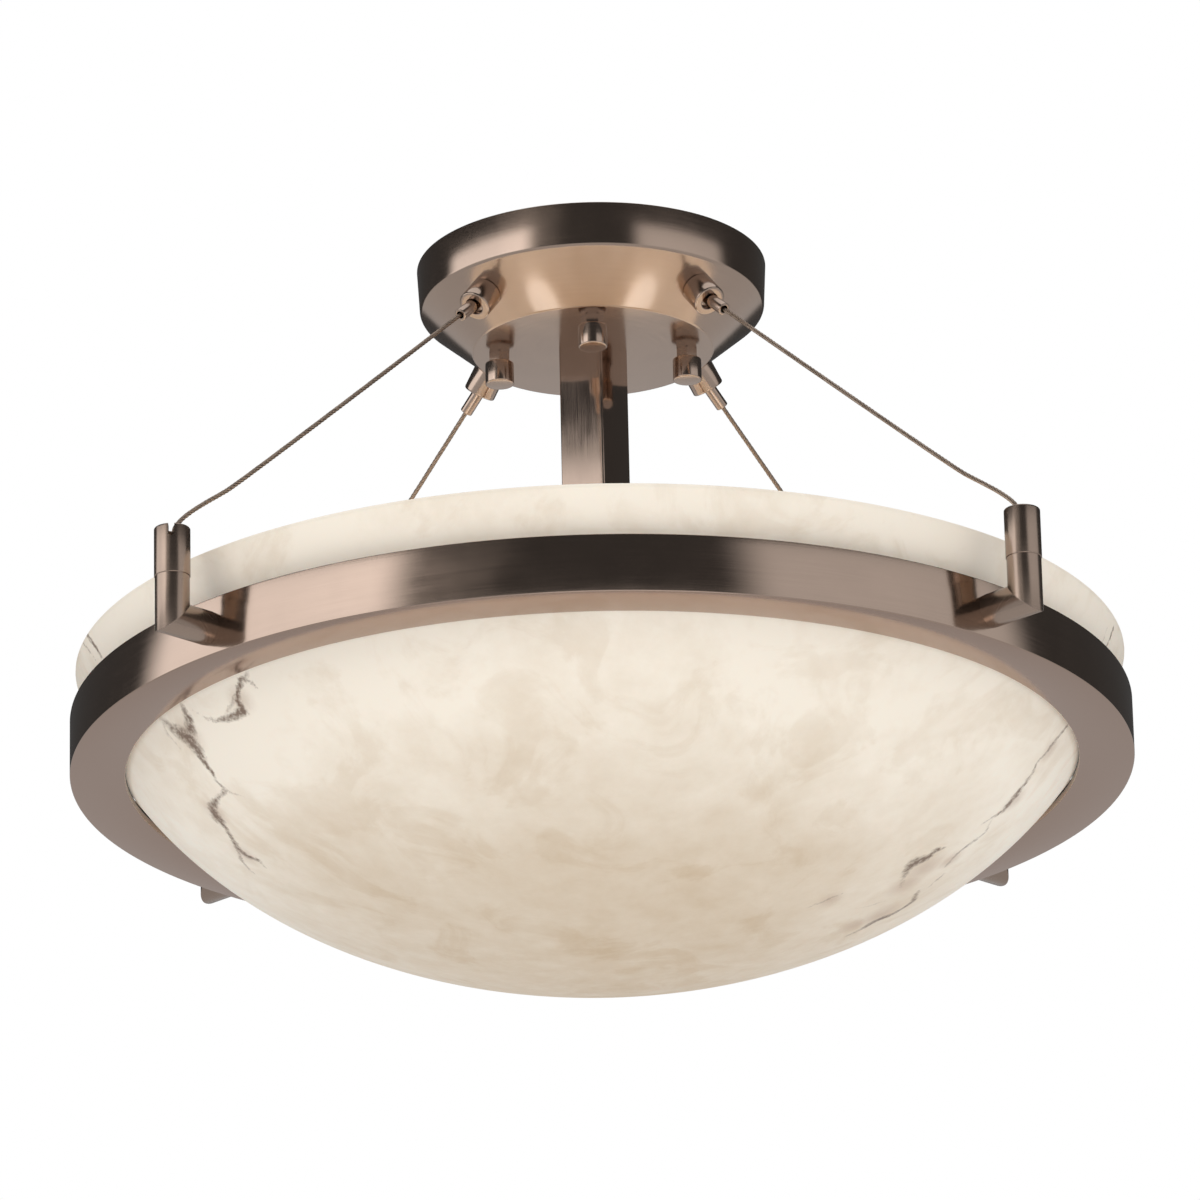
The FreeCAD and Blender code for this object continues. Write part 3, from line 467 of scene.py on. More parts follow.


# The bowl's veins, read off enlarged views of the photograph. Each point is the x and y in its
# frame of 1200 pixels, the vein's width there in pixels, and how dark it is. A stain has its middle
# and its reach.
VEINS = (
    ((159, 718, 8, 0.35), (173, 729, 12, 0.7), (187, 737, 16, 0.95), (197, 749, 13, 0.95),
     (205, 763, 7, 0.85), (212, 772, 5, 0.8), (217, 782, 4, 0.6), (226, 790, 5, 0.65),
     (219, 797, 5, 0.6), (212, 807, 9, 0.8), (218, 819, 13, 1), (226, 829, 6, 0.7),
     (231, 838, 6, 0.75), (238, 849, 8, 0.85), (248, 857, 8, 0.85), (259, 860, 5, 0.6),
     (266, 868, 3, 0.4)),
    ((181, 704, 5, 0.5), (188, 716, 9, 0.8), (191, 730, 12, 0.9)),
    ((226, 790, 4, 0.5), (233, 793, 3, 0.45), (242, 796, 2, 0.25)),
    ((159, 718, 5, 0.3), (168, 735, 4, 0.4), (180, 748, 3, 0.3)),
    ((238, 849, 4, 0.5), (240, 858, 5, 0.6), (246, 866, 4, 0.5), (254, 874, 3, 0.35)),
    ((247, 673, 5, 0.5), (241, 680, 7, 0.75), (238, 690, 5, 0.8), (239, 701, 6, 0.9), (243, 711, 9, 1),
     (234, 716, 8, 0.85), (224, 719, 6, 0.7), (214, 720, 4, 0.55), (203, 716, 3, 0.4),
     (193, 710, 2.5, 0.3)),
    ((243, 679, 5, 0.7), (250, 681, 4, 0.6), (257, 687, 3, 0.45)),
    ((238, 690, 3, 0.4), (232, 704, 5, 0.45), (226, 714, 5, 0.4)),
    ((1067, 726, 6, 0.6), (1057, 739, 6, 0.7), (1047, 752, 5, 0.65), (1037, 763, 4, 0.5),
     (1032, 774, 5, 0.6), (1023, 786, 7, 0.8), (1013, 799, 10, 0.9), (1004, 810, 7, 0.75),
     (993, 817, 5, 0.6), (982, 824, 3, 0.35)),
    ((992, 820, 4, 0.3), (986, 832, 4, 0.45), (973, 842, 6, 0.65), (962, 850, 5, 0.6),
     (952, 859, 4, 0.5), (946, 867, 4, 0.4)),
    ((945, 848, 3, 0.4), (936, 850, 8, 0.9), (926, 858, 11, 1), (914, 863, 15, 1), (907, 870, 9, 0.7),
     (903, 879, 6, 0.4), (900, 889, 5, 0.25)),
    ((945, 873, 3, 0.45), (937, 880, 4, 0.5), (929, 887, 3, 0.35)),
    ((918, 891, 5, 0.6), (914, 900, 7, 0.7), (903, 908, 7, 0.8), (893, 914, 8, 0.85),
     (882, 918, 9, 0.85), (870, 924, 9, 0.85), (860, 930, 7, 0.65), (847, 936, 6, 0.35)),
    ((885, 901, 3, 0.3), (870, 906, 3, 0.3), (856, 908, 3, 0.2)),
    ((842, 894, 3, 0.35), (831, 898, 4, 0.45), (820, 903, 4, 0.4), (806, 908, 3, 0.25)),
    ((84, 631, 3, 0.75), (88, 637, 4, 0.85), (93, 644, 4, 0.9), (98, 650, 4, 0.85), (101, 657, 4, 0.6)),
    ((80, 639, 2.5, 0.5), (84, 644, 2.5, 0.6), (88, 650, 2.5, 0.65), (92, 655, 2.5, 0.6),
     (96, 660, 2.5, 0.5)),
    ((1113, 629, 4, 0.7), (1111, 635, 4, 0.75), (1109, 640, 4, 0.75), (1106, 647, 3, 0.6)),
    ((1107, 628, 2.5, 0.35), (1104, 639, 2.5, 0.35), (1101, 645, 2, 0.3)),
)
STAINS = ((190, 735, 26), (240, 700, 22), (215, 812, 24), (245, 855, 24), (925, 868, 34),
          (905, 885, 30), (950, 860, 22), (880, 915, 34), (855, 925, 26), (1015, 800, 22),
          (1050, 750, 18), (830, 900, 20))


# The camera, fitted to the outlines of the ring and the canopy, the photograph's frame, and about how
# many metres one of its pixels spans at the bowl.
CAMERA_PLACE = Vector((-0.002, -3.28713, -1.37039))
CAMERA_RIGHT = Vector((0.99975288, 0.00699076, -0.02110227))
CAMERA_UP = Vector((0.02221732, -0.34637481, 0.93783308))
CAMERA_BACK = CAMERA_RIGHT.cross(CAMERA_UP)
LENS_MM = 240.0
SENSOR_MM = 36.0
FRAME_PIXELS = 1200.0
PIXEL_AT_BOWL = 0.000432


def on_bowl(x, y):
    """The point of the bowl's outside that the camera sees at a place in the photograph's frame."""
    bowl = bpy.context.scene.bowl_sizes
    reach = FRAME_PIXELS * LENS_MM / SENSOR_MM
    middle = FRAME_PIXELS / 2
    way = CAMERA_RIGHT * ((x - middle) / reach) + CAMERA_UP * ((middle - y) / reach) - CAMERA_BACK
    round_again = Matrix.Diagonal((1 / bowl.half_width, 1 / bowl.half_width, 1 / bowl.half_depth))
    eye = round_again @ (CAMERA_PLACE - Vector((0.0, 0.0, bowl.centre)))
    ray = round_again @ way
    past_edge = ray.dot(eye) ** 2 - ray.dot(ray) * (eye.dot(eye) - 1.0)
    steps = (-ray.dot(eye) - math.sqrt(max(past_edge, 0.0))) / ray.dot(ray)
    return tuple(CAMERA_PLACE + way * steps)


def stone_resin():
    """Cream resin cast to look like stone: soft clouds and brown veins, darker and warmer towards the
    bottom as painted shade, and a painted glow.
    """
    colours = bpy.context.scene.finish_colours
    material, graph = new_finish("stone_look_resin")
    place = graph.place()
    height = graph.height(place)
    wobble = graph.vector("SUBTRACT", graph.noise(place, 90.0, 3.0, 0.55, "Color"), (0.5, 0.5, 0.5))
    ragged = graph.vector("SUBTRACT", graph.noise(place, 500.0, 3.0, 0.6, "Color"), (0.5, 0.5, 0.5))
    fine = graph.vector("SUBTRACT", graph.noise(place, 1500.0, 2.0, 0.5, "Color"), (0.5, 0.5, 0.5))
    warped = graph.vector("ADD", place, graph.scaled(wobble, 0.0036))
    warped = graph.vector("ADD", warped, graph.scaled(ragged, 0.0026))
    warped = graph.vector("ADD", warped, graph.scaled(fine, 0.0012))
    group = vein_group()
    stroke, position = None, warped
    for line in VEINS:
        for start, end in zip(line, line[1:]):
            node = graph.add("ShaderNodeGroup", node_tree=group)
            graph.feed(node.inputs["Position"], position)
            for side, (x, y, width, strength) in (("Start", start), ("End", end)):
                graph.feed(node.inputs[side], on_bowl(x, y))
                graph.feed(node.inputs[side + " Width"], width * PIXEL_AT_BOWL / 2)
                graph.feed(node.inputs[side + " Strength"], strength)
            stroke = node.outputs[0] if stroke is None else graph.math("MAXIMUM", stroke, node.outputs[0])
            position = node.outputs[1]
    stain = None
    for x, y, reach in STAINS:
        away = graph.vector("DISTANCE", warped, on_bowl(x, y), 1)
        spot = graph.spread(away, reach * PIXEL_AT_BOWL, 0.0)
        stain = spot if stain is None else graph.math("MAXIMUM", stain, spot)
    grain = graph.eased(graph.noise(place, 480.0, 5.0, 0.65), 0.45, 1.55)
    feather = graph.spread(graph.times(stroke, grain), 0.16, 0.9, 0.0, 0.9, "LINEAR")
    clouds = graph.noise(place, 14.0, 4.0, 0.6, distortion=0.6)
    mottle = graph.noise(place, 75.0, 5.0, 0.65)
    patches = graph.spread(graph.noise(place, 22.0, 6.0, 0.6, distortion=1.0), 0.5, 0.62)
    # Darker and warmer towards the bottom: painted shade, for light falling from above. The clouds, patches
    # and speckle added to it are the cream's own uneven tone.
    bottom_painted_shade = graph.spread(height, -0.262, -0.325, 0.0, 0.72, "LINEAR")
    warmth = graph.math("ADD", bottom_painted_shade, graph.times(graph.math("SUBTRACT", clouds, 0.46), 0.75))
    warmth = graph.math("ADD", warmth, graph.times(patches, 0.16))
    speckle = graph.times(graph.math("SUBTRACT", mottle, 0.5), 0.42)
    warmth = graph.math("ADD", warmth, speckle, clamp=True)
    cream = graph.blended(warmth, rgba(colours.bowl_light), rgba(colours.bowl_warm))
    stained = graph.blended(graph.times(stain, 0.36), cream, rgba(colours.vein, 2.6))
    veined = graph.blended(feather, stained, rgba(colours.vein))
    bowl = bpy.context.scene.bowl_sizes
    reach = graph.vector("DIVIDE", graph.vector("SUBTRACT", place, (0, 0, bowl.centre)),
                         (bowl.half_width, bowl.half_width, bowl.half_depth))
    # Painted glow in place of the lamps' light coming through the shade: 0.42 on the inside face, and on
    # the outside 0.2 below the ring, dimming to 0.1 at its top.
    outside = graph.spread(height, -0.235, -0.21, 0.2, 0.1, "LINEAR")
    glow = graph.spread(graph.vector("LENGTH", reach, output=1), 0.984, 0.994, 0.42, outside, "LINEAR")
    graph.surface({"Base Color": veined, "Roughness": graph.eased(mottle, 0.36, 0.46),
                   "Subsurface Weight": 0.12, "Subsurface Radius": (0.012, 0.008, 0.005),
                   "Subsurface Scale": 0.4,
                   "Emission Color": veined, "Emission Strength": glow,
                   "Normal": graph.bump(graph.noise(place, 240.0, 3.0), 0.12, 0.0002)})
    return material


def wire_rope():
    """Bright steel wire, a little darker in fine random flecks."""
    material, graph = new_finish("wire_rope")
    place = graph.place()
    fine = graph.noise(place, 1800.0, 2.0)
    steel = bpy.context.scene.finish_colours.steel
    tone = graph.blended(fine, rgba(steel, 0.8), rgba(steel))
    graph.surface({"Base Color": tone, "Metallic": 1.0, "Roughness": graph.eased(fine, 0.26, 0.4),
                   "Normal": graph.bump(graph.noise(place, 3200.0, 1.0), 0.4, 0.00005)})
    return material


def glazed(name, colour, roughness=0.12, scale=120.0, bump=0.00004, coat=0.4):
    """Porcelain or enamel: a smooth coat over a faintly uneven body."""
    material, graph = new_finish(name)
    place = graph.place()
    clouds = graph.noise(place, scale, 4.0)
    tone = graph.blended(clouds, rgba(colour, 0.93), rgba(colour))
    graph.surface({"Base Color": tone, "Roughness": graph.eased(clouds, roughness, roughness + 0.08),
                   "Coat Weight": coat, "Coat Roughness": 0.08,
                   "Normal": graph.bump(graph.noise(place, scale * 2.5, 3.0), 0.3, bump)})
    return material


def rubber():
    material, graph = new_finish("gasket_rubber")
    place = graph.place()
    grit = graph.noise(place, 1500.0, 3.0)
    tone = graph.blended(grit, (0.016, 0.016, 0.017, 1), (0.03, 0.03, 0.032, 1))
    graph.surface({"Base Color": tone, "Roughness": graph.eased(grit, 0.62, 0.8),
                   "Normal": graph.bump(grit, 0.5, 0.00005)})
    return material


def frosted_glass():
    """The lamps' satin glass, faintly lit from within."""
    material, graph = new_finish("lamp_glass")
    place = graph.place()
    haze = graph.noise(place, 60.0, 4.0)
    tone = graph.blended(haze, (0.86, 0.84, 0.79, 1), (0.95, 0.935, 0.89, 1))
    graph.surface({"Base Color": tone, "Roughness": graph.eased(haze, 0.3, 0.42),
                   "Subsurface Weight": 0.25, "Subsurface Radius": (0.01, 0.009, 0.008),
                   "Subsurface Scale": 0.5,
                   "Emission Color": tone, "Emission Strength": 1.0,
                   "Normal": graph.bump(graph.noise(place, 900.0, 2.0), 0.2, 0.00005)})
    return material


def threaded(name, colour, pitch=0.0012, roughness=0.3, depth=0.0002):
    """A metal with screw thread lines across its upright length."""
    material, graph = new_finish(name)
    place = graph.place()
    height = graph.height(place)
    ridges = graph.math("PINGPONG", height, pitch / 2)
    clouds = graph.noise(place, 200.0, 3.0)
    tone = graph.blended(clouds, rgba(colour, 0.86), rgba(colour))
    graph.surface({"Base Color": tone, "Metallic": 1.0,
                   "Roughness": graph.eased(clouds, roughness - 0.05, roughness + 0.07),
                   "Normal": graph.bump(graph.math("DIVIDE", ridges, pitch / 2), 0.6, depth)})
    return material


# ---- pieces ----

# Radii of the canopy's holes and of the thread in its nuts, and the depth of that in a cap nut.
STEM_HOLE = 0.00514
STUD_HOLE = 0.00243
GRIPPER_HOLE = 0.0065
NUT_THREAD = 0.00212
CAP_THREAD_DEPTH = 0.0075


class LIGHT_OT_canopy(bpy.types.Operator):
    """Builds the spun canopy with its four nuts and cap nuts"""
    bl_idname = "ceiling_light.canopy"
    bl_label = "Build Canopy"

    def execute(self, context):
        sizes, grip = context.scene.canopy_sizes, context.scene.gripper_sizes
        wall = sizes.wall
        lean = math.atan2(sizes.depth - sizes.side_height, sizes.edge_radius - sizes.disc_radius)
        side_turn = math.tan((math.pi / 2 - lean) / 2)
        disc_turn = math.tan(lean / 2)
        pan = turned((
            (0.0, -sizes.depth), (sizes.disc_radius, -sizes.depth, sizes.disc_rounding),
            (sizes.edge_radius, -sizes.side_height, sizes.edge_rounding),
            (sizes.rim_radius, 0.0, 0.0003), (sizes.rim_radius - wall, 0.0, 0.0003),
            (sizes.edge_radius - wall, -sizes.side_height + wall * side_turn, 0.0006),
            (sizes.disc_radius - wall * disc_turn, -sizes.depth + wall, 0.0005),
            (0.0, -sizes.depth + wall)), 192)
        drills = [bar(STEM_HOLE, -0.05, -0.03, 48)]
        for azimuth in STUD_AZIMUTHS:
            drill = bar(STUD_HOLE, -0.05, -0.03, 32)
            drills.append(placed(drill, stand(sizes.stud_circle, 0.0, azimuth)))
        for azimuth in CORNERS.values():
            drill = bar(GRIPPER_HOLE, -0.01, 0.01, 48)
            drills.append(placed(drill, stand(grip.seat_radius, grip.seat_height, azimuth, grip.lean)))
        add_piece("canopy_pan", carved(pan, joined(*drills)), [Matrix()], "fixture",
                  nickel("turned"), ["canopy"], 25.0)

        corner = sizes.nut_flats / 2 / math.cos(math.pi / 6)
        nut = prism(6, 2 * corner, 0.0, sizes.nut_height)
        chamfer = turned(((0.0, 0.0), (corner * 0.93, 0.0), (corner * 1.02, corner * 0.06),
                          (corner * 1.02, sizes.nut_height - corner * 0.06),
                          (corner * 0.93, sizes.nut_height), (0.0, sizes.nut_height)), 48)
        nut = carved(nut, chamfer, "INTERSECT")
        nut = carved(nut, bar(NUT_THREAD, -0.01, 0.01, 32))
        nut_end = -sizes.depth - sizes.nut_height
        places = [stand(sizes.stud_circle, nut_end, azimuth) for azimuth in STUD_AZIMUTHS]
        small = nickel("small")
        add_piece("canopy_hex_nuts", nut, places, "fixture", small, ["canopy_nuts"])

        height = sizes.cap_height
        cap = turned(((NUT_THREAD, 0.0, 0.0002), (sizes.cap_radius, 0.0, 0.0004),
                      (sizes.cap_radius, -height, 0.0007), (0.0, -height),
                      (0.0, -CAP_THREAD_DEPTH), (NUT_THREAD, -CAP_THREAD_DEPTH)), 64)
        add_piece("canopy_cap_nuts", cap, places, "fixture", small, ["cap_nuts"])
        return {"FINISHED"}


class LIGHT_OT_stem(bpy.types.Operator):
    """Builds the square stem"""
    bl_idname = "ceiling_light.stem"
    bl_label = "Build Stem"

    def execute(self, context):
        sizes, canopy = context.scene.stem_sizes, context.scene.canopy_sizes
        outside = prism(4, sizes.side * math.sqrt(2), 0.0, sizes.length, sizes.corner, 4)
        hollow = sizes.side - 2 * sizes.wall
        inside = prism(4, hollow * math.sqrt(2), -0.01, sizes.length + 0.01, sizes.corner / 2, 3)
        drop = Matrix.Translation((0, 0, -canopy.depth - sizes.length))
        place = drop @ Matrix.Rotation(sizes.turn, 4, "Z")
        add_piece("stem_tube", carved(outside, inside), [place], "fixture",
                  nickel("straight", long_grain, 0.09), ["stem"])
        return {"FINISHED"}


# A gripper inside: its shank in the canopy, the rope's hole in that, the spring's room, the mouth
# that its plunger comes out of, and the plunger's head.
SHANK_RADIUS = 0.0063
SHANK_LENGTH = 0.0066
SHANK_HOLE = 0.0038
SPRING_ROOM = 0.0051
SPRING_SEAT = -0.0051
MOUTH_RADIUS = 0.00395
MOUTH_WALL = 0.002
HEAD_RADIUS = 0.0046
HEAD_HALF_LENGTH = 0.002


class LIGHT_OT_grippers(bpy.types.Operator):
    """Builds the four rope grippers: their barrels and release nozzles"""
    bl_idname = "ceiling_light.grippers"
    bl_label = "Build Rope Grippers"

    def execute(self, context):
        sizes = context.scene.gripper_sizes
        finish = nickel("small")
        for corner, azimuth in CORNERS.items():
            end = sizes.barrel_length
            barrel = turned((
                (SHANK_HOLE, -SHANK_LENGTH), (SHANK_RADIUS, -SHANK_LENGTH, 0.0003), (SHANK_RADIUS, 0.0),
                (sizes.barrel_radius, 0.0, 0.0002), (sizes.barrel_radius, end, sizes.barrel_rounding),
                (MOUTH_RADIUS, end, 0.0003), (MOUTH_RADIUS, end - MOUTH_WALL),
                (SPRING_ROOM, end - MOUTH_WALL), (SPRING_ROOM, SPRING_SEAT), (SHANK_HOLE, SPRING_SEAT)), 96)
            add_piece("gripper_body_" + corner, barrel,
                      [stand(sizes.seat_radius, sizes.seat_height, azimuth, sizes.lean)],
                      "fixture", finish, ["gripper_barrel_" + corner])
            face = math.sqrt(HEAD_RADIUS ** 2 - HEAD_HALF_LENGTH ** 2)
            nozzle = turned((
                (sizes.nozzle_bore, -HEAD_HALF_LENGTH), (face, -HEAD_HALF_LENGTH, 0.0003),
                (HEAD_RADIUS, 0.0, 0.0012), (face, HEAD_HALF_LENGTH, 0.0003),
                (sizes.nozzle_radius, HEAD_HALF_LENGTH), (sizes.nozzle_radius, sizes.nozzle_length, 0.0004),
                (sizes.nozzle_bore, sizes.nozzle_length, 0.0002)), 64)
            add_piece("release_nozzle_" + corner, nozzle,
                      [stand(sizes.head_radius, sizes.head_height, azimuth, sizes.rope_lean)],
                      "nozzle_" + corner, finish, ["gripper_nozzle_" + corner])
        return {"FINISHED"}


# The rope's route in its own upright plane: distance from the axis and height.
ROPE_ROUTE = ((0.053190, -0.019459), (0.2120, -0.1560), (0.2280, -0.1672), (0.2390, -0.1752),
              (0.2460, -0.1815), (0.2500, -0.1873), (0.2500, -0.1988))


def drawn(curve):
    """The mesh that Blender draws for a curve, in the curve's place."""
    item = in_scene(curve.name, curve)
    data = bpy.data.meshes.new_from_object(item.evaluated_get(bpy.context.evaluated_depsgraph_get()))
    bpy.data.objects.remove(item)
    bpy.data.curves.remove(curve)
    return data


def evenly(points, step):
    """The same line as points a step apart, with the way it runs at each."""
    runs = [0.0]
    for start, end in zip(points, points[1:]):
        runs.append(runs[-1] + (end - start).length)
    count = round(runs[-1] / step)
    line, piece = [], 0
    for index in range(count + 1):
        reach = runs[-1] * index / count
        while piece < len(runs) - 2 and runs[piece + 1] < reach:
            piece += 1
        share = (reach - runs[piece]) / (runs[piece + 1] - runs[piece])
        line.append((points[piece].lerp(points[piece + 1], share), reach))
    return [(point, (line[min(i + 1, count)][0] - line[max(i - 1, 0)][0]).normalized(), reach)
            for i, (point, reach) in enumerate(line)]


class LIGHT_OT_ropes(bpy.types.Operator):
    """Builds the four wire ropes, each of strands laid round a core"""
    bl_idname = "ceiling_light.ropes"
    bl_label = "Build Ropes"

    def execute(self, context):
        sizes = context.scene.rope_sizes
        finish = wire_rope()
        strand = sizes.radius / 3
        for corner, azimuth in CORNERS.items():
            turn = Matrix.Rotation(math.radians(azimuth), 4, "Z")
            route = bpy.data.curves.new("rope_route", "CURVE")
            route.dimensions = "3D"
            spline = route.splines.new("NURBS")
            spline.points.add(len(ROPE_ROUTE) - 1)
            for point, (x, z) in zip(spline.points, ROPE_ROUTE):
                point.co = (*(turn @ Vector((x, 0, z))), 1.0)
            spline.order_u = 3
            spline.use_endpoint_u = True
            spline.resolution_u = 64
            middle_line = drawn(route)
            line = evenly([vert.co.copy() for vert in middle_line.vertices], sizes.lay / sizes.steps)
            bpy.data.meshes.remove(middle_line)
            side = turn @ Vector((0, 1, 0))
            twist = bpy.data.curves.new("rope_strands", "CURVE")
            twist.dimensions = "3D"
            twist.bevel_depth = strand
            twist.bevel_resolution = 1
            twist.use_fill_caps = True
            for number in range(sizes.strands + 1):
                lay = twist.splines.new("POLY")
                lay.points.add(len(line) - 1)
                for point, (middle, way, reach) in zip(lay.points, line):
                    angle = math.tau * (reach / sizes.lay + number / sizes.strands)
                    out = side * math.cos(angle) + way.cross(side) * math.sin(angle)
                    point.co = (*(middle + out * (2 * strand if number < sizes.strands else 0.0)), 1.0)
            add_object("wire_rope_" + corner, drawn(twist), "fixture", finish,
                       ["rope_" + corner], 60.0)
        return {"FINISHED"}


# A sleeve inside: the thread for its stud and that thread's depth, and the wall over the ferrule.
SLEEVE_THREAD = 0.00404
SLEEVE_THREAD_DEPTH = 0.0063
SLEEVE_TOP_WALL = 0.003


class LIGHT_OT_posts(bpy.types.Operator):
    """Builds the four posts with their slotted sleeves"""
    bl_idname = "ceiling_light.posts"
    bl_label = "Build Posts"

    def execute(self, context):
        sizes, ring = context.scene.post_sizes, context.scene.ring_sizes
        # a little darker and softer than the rest
        finish = nickel("posts", roughness=0.24, brightness=0.8)
        for corner, azimuth in CORNERS.items():
            place = stand(sizes.circle, sizes.arm_height, azimuth)
            add_piece("post_elbow_" + corner, self.elbow(sizes, ring), [place],
                      "fixture", finish, ["post_" + corner], 30.0)
            length = sizes.top - sizes.seam
            body = turned((
                (SLEEVE_THREAD, 0.0), (sizes.sleeve_radius, 0.0, 0.0003),
                (sizes.sleeve_radius, length, sizes.sleeve_rounding), (sizes.rope_hole, length, 0.0003),
                (sizes.rope_hole, length - SLEEVE_TOP_WALL), (sizes.cavity, length - SLEEVE_TOP_WALL),
                (sizes.cavity, SLEEVE_THREAD_DEPTH), (SLEEVE_THREAD, SLEEVE_THREAD_DEPTH)), 96)
            slot = bmesh.new()
            bmesh.ops.create_cube(slot, size=1.0)
            reach, low, high = 2 * sizes.sleeve_radius, length - sizes.slot_depth, length + 0.002
            bmesh.ops.scale(slot, vec=(reach, sizes.slot_width, high - low), verts=slot.verts[:])
            bmesh.ops.translate(slot, vec=(reach / 2, 0.0, (low + high) / 2), verts=slot.verts[:])
            floor = [e for e in slot.edges if all(v.co.z < (low + high) / 2 for v in e.verts)
                     and abs(e.verts[0].co.y - e.verts[1].co.y) < 1e-6]
            # a hair under half the width, so that the two roundings don't meet in one line
            bevelled(slot, floor, sizes.slot_width * 0.499, 6)
            place = stand(sizes.circle, sizes.seam, azimuth) @ stand(azimuth=SLOT_TURNS[corner])
            add_piece("slotted_sleeve_" + corner, carved(body, slot), [place],
                      "fixture", finish, ["sleeve_" + corner], 30.0)
        return {"FINISHED"}

    @staticmethod
    def elbow(sizes, ring):
        """A loop on the mitre, drawn up to the sleeve and in to the ring's round side."""
        mesh = bmesh.new()
        bmesh.ops.create_circle(mesh, cap_ends=False, segments=64, radius=sizes.radius)
        for vert in mesh.verts:
            vert.co.z = -vert.co.x
        mitre = mesh.edges[:]
        up = bmesh.ops.extrude_edge_only(mesh, edges=mitre)["geom"]
        top = [v for v in up if isinstance(v, bmesh.types.BMVert)]
        for vert in top:
            vert.co.z = sizes.seam - sizes.arm_height
        inward = bmesh.ops.extrude_edge_only(mesh, edges=mitre)["geom"]
        face = [v for v in inward if isinstance(v, bmesh.types.BMVert)]
        for vert in face:
            vert.co.x = math.sqrt(ring.radius ** 2 - vert.co.y ** 2) - sizes.circle
        for loop in (top, face):
            edges = [e for e in mesh.edges if all(v in loop for v in e.verts)]
            bmesh.ops.contextual_create(mesh, geom=edges)
        bmesh.ops.recalc_face_normals(mesh, faces=mesh.faces[:])
        bevelled(mesh, mitre, 0.0003, 2)
        return mesh


class LIGHT_OT_ring(bpy.types.Operator):
    """Builds the flanged ring that carries the bowl"""
    bl_idname = "ceiling_light.ring"
    bl_label = "Build Ring"

    def execute(self, context):
        sizes = context.scene.ring_sizes
        inner, edge = sizes.radius - sizes.width, sizes.rounding
        top, shelf = sizes.bottom + sizes.height, sizes.bottom + sizes.flange
        band = turned((
            (inner, sizes.bottom, edge), (sizes.radius, sizes.bottom, edge), (sizes.radius, top, edge),
            (sizes.radius - sizes.wall, top, edge), (sizes.radius - sizes.wall, shelf, edge),
            (inner, shelf, edge)), 384)
        add_piece("flanged_ring", band, [Matrix()], "fixture", nickel_band(), ["ring"])
        return {"FINISHED"}


class LIGHT_OT_bowl(bpy.types.Operator):
    """Builds the stone-look bowl"""
    bl_idname = "ceiling_light.bowl"
    bl_label = "Build Bowl"

    def execute(self, context):
        sizes = context.scene.bowl_sizes
        mesh = bmesh.new()
        bmesh.ops.create_uvsphere(mesh, u_segments=256, v_segments=128, radius=1.0)
        half_sizes = (sizes.half_width, sizes.half_width, sizes.half_depth)
        bmesh.ops.scale(mesh, vec=half_sizes, verts=mesh.verts[:])
        lifted(mesh, sizes.centre)
        bmesh.ops.bisect_plane(mesh, geom=mesh.verts[:] + mesh.edges[:] + mesh.faces[:], dist=1e-7,
                               plane_co=(0, 0, sizes.rim), plane_no=(0, 0, 1), clear_outer=True)
        bmesh.ops.recalc_face_normals(mesh, faces=mesh.faces[:])
        bmesh.ops.solidify(mesh, geom=mesh.faces[:], thickness=sizes.wall)
        for vert in mesh.verts:
            vert.co.z = min(vert.co.z, sizes.rim)
        rim = [e for e in mesh.edges if all(v.co.z > sizes.rim - 0.0004 for v in e.verts)
               and len(e.link_faces) == 2 and e.calc_face_angle(0.0) > 0.9]
        bevelled(mesh, rim, sizes.rim_rounding, 4)
        add_piece("stone_look_bowl", mesh, [Matrix()], "bowl", stone_resin(),
                  ["bowl"], 50.0)
        return {"FINISHED"}


class LIGHT_OT_fittings(bpy.types.Operator):
    """Gives the inner fittings, which keep their CAD shapes, their finishes"""
    bl_idname = "ceiling_light.fittings"
    bl_label = "Finish Inner Fittings"

    def execute(self, context):
        zinc = metal("zinc_steel", (0.52, 0.53, 0.55), roughness=0.34, own=False, scale=180.0, patchy=0.12)
        thread = threaded("zinc_thread", (0.5, 0.51, 0.53))
        brass = threaded("socket_brass", (0.68, 0.5, 0.22), pitch=0.0036, roughness=0.28)
        enamel = glazed("hub_enamel", (0.80, 0.79, 0.76))
        finishes = {
            "mounting_plate": zinc, "stud_lock_nuts": zinc, "stem_washer": zinc, "stem_nut": zinc,
            "hub_nut": zinc, "socket_nuts": zinc, "gripper_nuts": zinc, "post_screws": zinc,
            "canopy_studs": thread, "stem_nipple": thread, "hub_nipple": thread, "sleeve_studs": thread,
            "gripper_springs": metal("spring_steel", (0.45, 0.44, 0.43), roughness=0.25, own=False,
                                     scale=300.0),
            "stem_top_plug": metal("plug_nickel", (0.44, 0.37, 0.32), roughness=0.3, own=False),
            "ground_screw": glazed("green_screw", (0.03, 0.22, 0.07), 0.35, 300.0),
            "hub": enamel, "hub_cover": enamel,
            "ring_gasket": rubber(),
            "rope_ferrules": metal("ferrule_aluminium", (0.6, 0.6, 0.61), roughness=0.36, own=False,
                                   scale=400.0),
        }
        finishes["stem_bottom_plug"] = finishes["stem_top_plug"]
        finial = tuple(context.scene.finish_colours.nickel)
        finishes["hub_finial"] = metal("finial_nickel", finial, roughness=0.2, own=False)
        porcelain = glazed("porcelain", (0.86, 0.85, 0.82))
        cap = threaded("lamp_cap_metal", (0.62, 0.62, 0.6), pitch=0.0036)
        glass = frosted_glass()
        for lamp in ("lamp_rear", "lamp_left", "lamp_right"):
            finishes.update({lamp + "_socket": porcelain, lamp + "_shell": brass,
                             lamp + "_base": cap, lamp + "_glass": glass})
        for name, finish in finishes.items():
            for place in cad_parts[name].material_slots:
                place.material = finish
        bare = [name for name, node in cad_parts.items()
                if name not in finishes and not node.hide_render]
        if bare:
            raise RuntimeError(f"these nodes have no finish: {bare}")
        return {"FINISHED"}


# ---- studio ----

